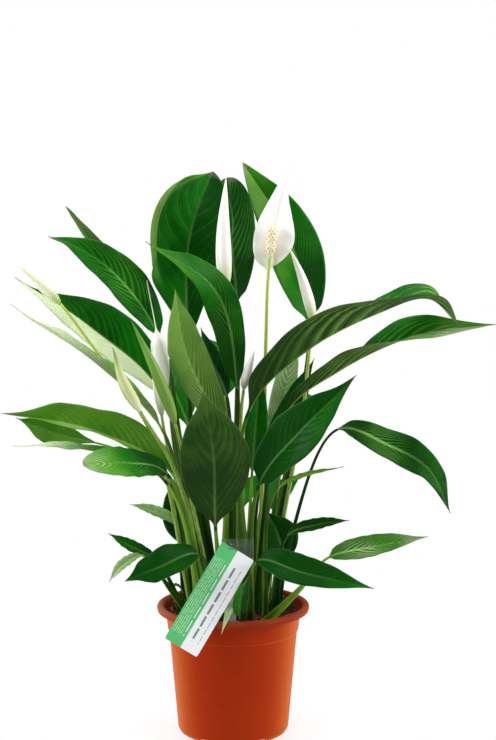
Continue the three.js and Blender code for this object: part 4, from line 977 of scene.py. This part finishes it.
# A crumb half sunk in the surface
def addCrumb(work, rng, edge):
    r, a = (edge - 3) * math.sqrt(rng.random()), rng.random() * 2 * math.pi
    x, y = r * math.cos(a), r * math.sin(a)
    size = rng.uniform(*soil.crumbSize)
    stretch = rng.uniform(0.6, 1.3, 3) * size
    z = float(soilHeight(x, y)) + size * 0.2
    for v in bmesh.ops.create_icosphere(work, subdivisions=1, radius=mm)["verts"]:
        jitter = 1 + rng.uniform(-0.25, 0.25)
        v.co = (x * mm + v.co.x * stretch[0] * jitter, y * mm + v.co.y * stretch[1] * jitter,
                z * mm + v.co.z * stretch[2] * 0.7 * jitter)


# A thin root that wanders over the soil and dips into it at both ends
def addRoot(work, rng, edge):
    a, r = rng.random() * 2 * math.pi, edge * math.sqrt(rng.uniform(0.45, 0.93))
    way = rng.random() * 2 * math.pi
    points = []
    for i in range(9):
        x, y = r * math.cos(a), r * math.sin(a)
        arch = math.sin(math.pi * i / 8)
        points.append((x, y, float(soilHeight(x, y)) - 1.5 + arch * rng.uniform(1.6, 3.2)))
        way += rng.uniform(-0.7, 0.7)
        a += math.cos(way) * 0.07
        r = min(edge - 2.5, max(4, r + math.sin(way) * 2.6))
    line, shares, sides = Line(points), np.linspace(0, 1, 33), soil.rootSides
    radii = rng.uniform(0.18, 0.42) * (1 - 0.5 * shares[:, None])
    rings = ringsAbout(line.at(shares), line.heading(shares), radii, turns(sides), (0.1, 0.2, 1))
    base = [[work.verts.new(Vector(p) * mm) for p in ring] for ring in rings]
    for low, high in zip(base, base[1:]):
        for j in range(sides):
            work.faces.new((low[j], low[(j + 1) % sides], high[(j + 1) % sides], high[j]))
    work.faces.new(base[0][::-1])
    work.faces.new(base[-1])


def makeSoil():
    rng = np.random.default_rng(soil.seed)
    share = (soilTop - pot.stepHeight) / (pot.collarTop - pot.stepHeight)
    clear = pot.wall + soil.gap
    edge = pot.stepRadius + (pot.collarRadius - pot.stepRadius) * share - clear
    foot = ((0.01, 5.4), (pot.footRadius - pot.wall - 2, 5.6), (pot.stepRadius - clear, pot.stepHeight))
    angle = 2 * np.pi * np.arange(soil.sides) / soil.sides
    rings = [np.stack([r * np.cos(angle), r * np.sin(angle), z + 0 * angle], -1) for r, z in foot]
    for r in edge * np.sqrt(np.linspace(1, 0.0006, soil.rings)):
        x, y = r * np.cos(angle), r * np.sin(angle)
        grain = rng.normal(0, 0.28, soil.sides) * min(1, r / 6)
        rings.append(np.stack([x, y, soilHeight(x, y) + grain - 1.2 * np.exp(-(edge - r) / 1.5)], -1))
    mesh = skinMesh("soilBody", np.array(rings))
    addPiece("soil_skin", mesh, (makeSoilFinish(), makeRootFinish()), "soil")
    work = bmesh.new()
    work.from_mesh(mesh)
    for _ in range(soil.crumbs):
        addCrumb(work, rng, edge)
    before = len(work.faces)
    for _ in range(soil.roots):
        addRoot(work, rng, edge)
    for i, face in enumerate(work.faces):
        face.smooth = True
        face.material_index = int(i >= before)
    work.to_mesh(mesh)
    work.free()


makeSoil()
print("soil filled")

label = Form(width=30.5, length=91.0, thickness=0.6, topCentre=(4.6, -52.5, 167.0), tilt=31.5, lean=11.0,
             corner=0.7, across=16, along=46)


# A thin leaning card with small round corners
def makeLabel():
    halfWidth, length, corner, m, n = label.width / 2, label.length, label.corner, label.across, label.along
    work = bmesh.new()
    layer = work.loops.layers.uv.new("card")
    grid = {}
    for face in (0, 1):
        for j in range(n + 1):
            down = length * j / n
            inset = corner - math.sqrt(max(0, corner**2 - max(0, corner - min(down, length - down)) ** 2))
            for i in range(m + 1):
                x, y = (halfWidth - inset) * (2 * i / m - 1), (face - 0.5) * label.thickness
                grid[face, j, i] = work.verts.new((x, y, -down))
    for j in range(n):
        for i in range(m):
            work.faces.new((grid[0, j, i], grid[0, j + 1, i], grid[0, j + 1, i + 1], grid[0, j, i + 1]))
            work.faces.new((grid[1, j, i], grid[1, j, i + 1], grid[1, j + 1, i + 1], grid[1, j + 1, i]))
    border = ([(0, i) for i in range(m + 1)] + [(j, m) for j in range(1, n + 1)]
              + [(n, i) for i in range(m - 1, -1, -1)] + [(j, 0) for j in range(n - 1, 0, -1)])
    for a, b in zip(border, border[1:] + border[:1]):
        work.faces.new((grid[0, *a], grid[0, *b], grid[1, *b], grid[1, *a]))
    bmesh.ops.recalc_face_normals(work, faces=work.faces)
    for face in work.faces:
        for loop in face.loops:
            loop[layer].uv = (0.5 + loop.vert.co.x / label.width, 1 + loop.vert.co.z / length)
    lean = Matrix.Rotation(math.radians(-label.lean), 3, "X")
    turn = Matrix.Rotation(math.radians(label.tilt), 3, "Y") @ lean
    for v in work.verts:
        v.co = (turn @ v.co + Vector(label.topCentre)) * mm
    mesh = bpy.data.meshes.new("labelCard")
    work.to_mesh(mesh)
    work.free()
    addPiece("label_card", mesh, (makeLabelFinish(),), "label")


stake = Form(clearFrom=150.0, bevel=0.25, bar=(rgb(240, 246, 244), 0.6, 1.3),
             head=(rgb(232, 240, 238), 0.97, 1.16))


# The stake keeps its solid's shape, with softened edges, a cloudy bar and a clear head
def makeStake():
    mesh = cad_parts["label_stake"].data.copy()
    mesh.name = "stakeMoulding"
    mesh.materials.clear()
    finishes = (makeClearFinish("cloudyPlastic", *stake.bar), makeClearFinish("clearPlastic", *stake.head))
    addPiece("label_stake_skin", mesh, finishes, "label_stake")
    work = bmesh.new()
    work.from_mesh(mesh)
    bmesh.ops.remove_doubles(work, verts=work.verts, dist=1e-6)
    bmesh.ops.dissolve_limit(work, angle_limit=0.01, verts=work.verts, edges=work.edges)
    bmesh.ops.bisect_plane(work, geom=[*work.verts, *work.edges, *work.faces],
                           plane_co=(0, 0, stake.clearFrom * mm), plane_no=(0, 0, 1))
    sharp = [e for e in work.edges if len(e.link_faces) == 2 and e.calc_face_angle() > 0.5]
    bmesh.ops.bevel(work, geom=sharp, offset=stake.bevel * mm, segments=2, affect="EDGES", profile=0.6,
                    clamp_overlap=True)
    for face in work.faces:
        face.material_index = int(face.calc_center_median().z > stake.clearFrom * mm)
    work.to_mesh(mesh)
    work.free()
    for name in [a.name for a in mesh.attributes if a.name.startswith("custom_normal")]:
        mesh.attributes.remove(mesh.attributes[name])


makeLabel()
makeStake()
print("label hung")

camera = Form(place=(12.66, -1337.96, 460.27), tiltDown=6.4, focal=1600.0, imageHeight=740.0, sensor=36.0)
studio = Form(backdrop=1.0, front=0.14, back=1.0, top=0.95, below=0.5, inGloss=0.16, sideLight=15.0,
              sideSize=0.8, sideAway=1.25, topLight=10.0, topSize=1.0, floorRadius=1.5)


# focal and imageHeight are in pixels of the photo, and sensor is in millimetres
def makeCamera():
    data = bpy.data.cameras.new("photoCamera")
    data.sensor_width = camera.sensor
    data.lens = camera.focal / camera.imageHeight * camera.sensor
    data.clip_start, data.clip_end = 0.05, 20
    cam = bpy.data.objects.new("photoCamera", data)
    cam.location = [value * mm for value in camera.place]
    cam.rotation_euler = (math.radians(90 - camera.tiltDown), 0, 0)
    scene.collection.objects.link(cam)
    scene.camera = cam


# The world is bright beside, behind and above the plant and darker on the camera's side.
def makeWorld():
    world = bpy.data.worlds.new("studioWorld")
    world.use_nodes = True
    scene.world = world
    n = Nodes(world.node_tree)
    x, y, z = n.split(n.add("TexCoord").outputs["Generated"])
    level = n.ramp(y, -0.95, 0.3, (studio.front, studio.back))
    level = n.calc("MAXIMUM", level, n.ramp(z, 0.2, 0.9, (0.0, studio.top)))
    level = n.calc("MINIMUM", level, n.ramp(z, -0.6, -0.05, (studio.below, 2.0)))
    paths = n.add("LightPath").outputs
    seen = paths["Is Camera Ray"]
    level = n.times(level, n.ramp(paths["Is Glossy Ray"], 0.0, 1.0, (1.0, studio.inGloss)))
    level = n.scaled(seen, studio.backdrop, n.times(level, n.calc("SUBTRACT", 1.0, seen)))
    background = n.tree.nodes["Background"].inputs
    n.put(background["Strength"], level)
    n.put(background["Color"], (1, 1, 1, 1))


def makeAreaLight(name, place, power, size):
    data = bpy.data.lights.new(name, "AREA")
    data.shape, data.size, data.energy = "DISK", size, power
    lamp = bpy.data.objects.new(name, data)
    lamp.location = place
    lamp.rotation_euler = (Vector((0, 0, 0.26)) - Vector(place)).to_track_quat("-Z", "Y").to_euler()
    scene.collection.objects.link(lamp)


# A pale floor that catches the soft shadow by the pot and fades into the backdrop
def makeFloor():
    mesh = bpy.data.meshes.new("floor")
    work = bmesh.new()
    bmesh.ops.create_grid(work, x_segments=24, y_segments=24, size=studio.floorRadius)
    work.to_mesh(mesh)
    work.free()
    floor = bpy.data.objects.new("floor", mesh)
    floor.location.z = -0.0002
    n = Finish("paleFloor", Base_Color=(0.9, 0.9, 0.9, 1), Roughness=0.8)
    reach = n.add("VectorMath", {0: n.place()}, operation="LENGTH").outputs["Value"]
    far = n.ramp(reach, 0.04, 0.16, (0.72, 1.0))
    glow = n.add("Emission", {"Color": (1, 1, 1, 1), "Strength": 1.0}).outputs[0]
    mix = n.add("MixShader", {0: far, 1: n.shader.outputs[0], 2: glow}).outputs[0]
    n.put(n.tree.nodes["Material Output"].inputs["Surface"], mix)
    mesh.materials.append(n.material)
    scene.collection.objects.link(floor)


makeCamera()
makeWorld()
for name, sign in (("leftSoftbox", -1), ("rightSoftbox", 1)):
    makeAreaLight(name, (sign * studio.sideAway, -0.35, 0.65), studio.sideLight, studio.sideSize)
makeAreaLight("topSoftbox", (0, 0.15, 1.5), studio.topLight, studio.topSize)
makeFloor()
scene.view_settings.view_transform = "Standard"
print("studio lit")
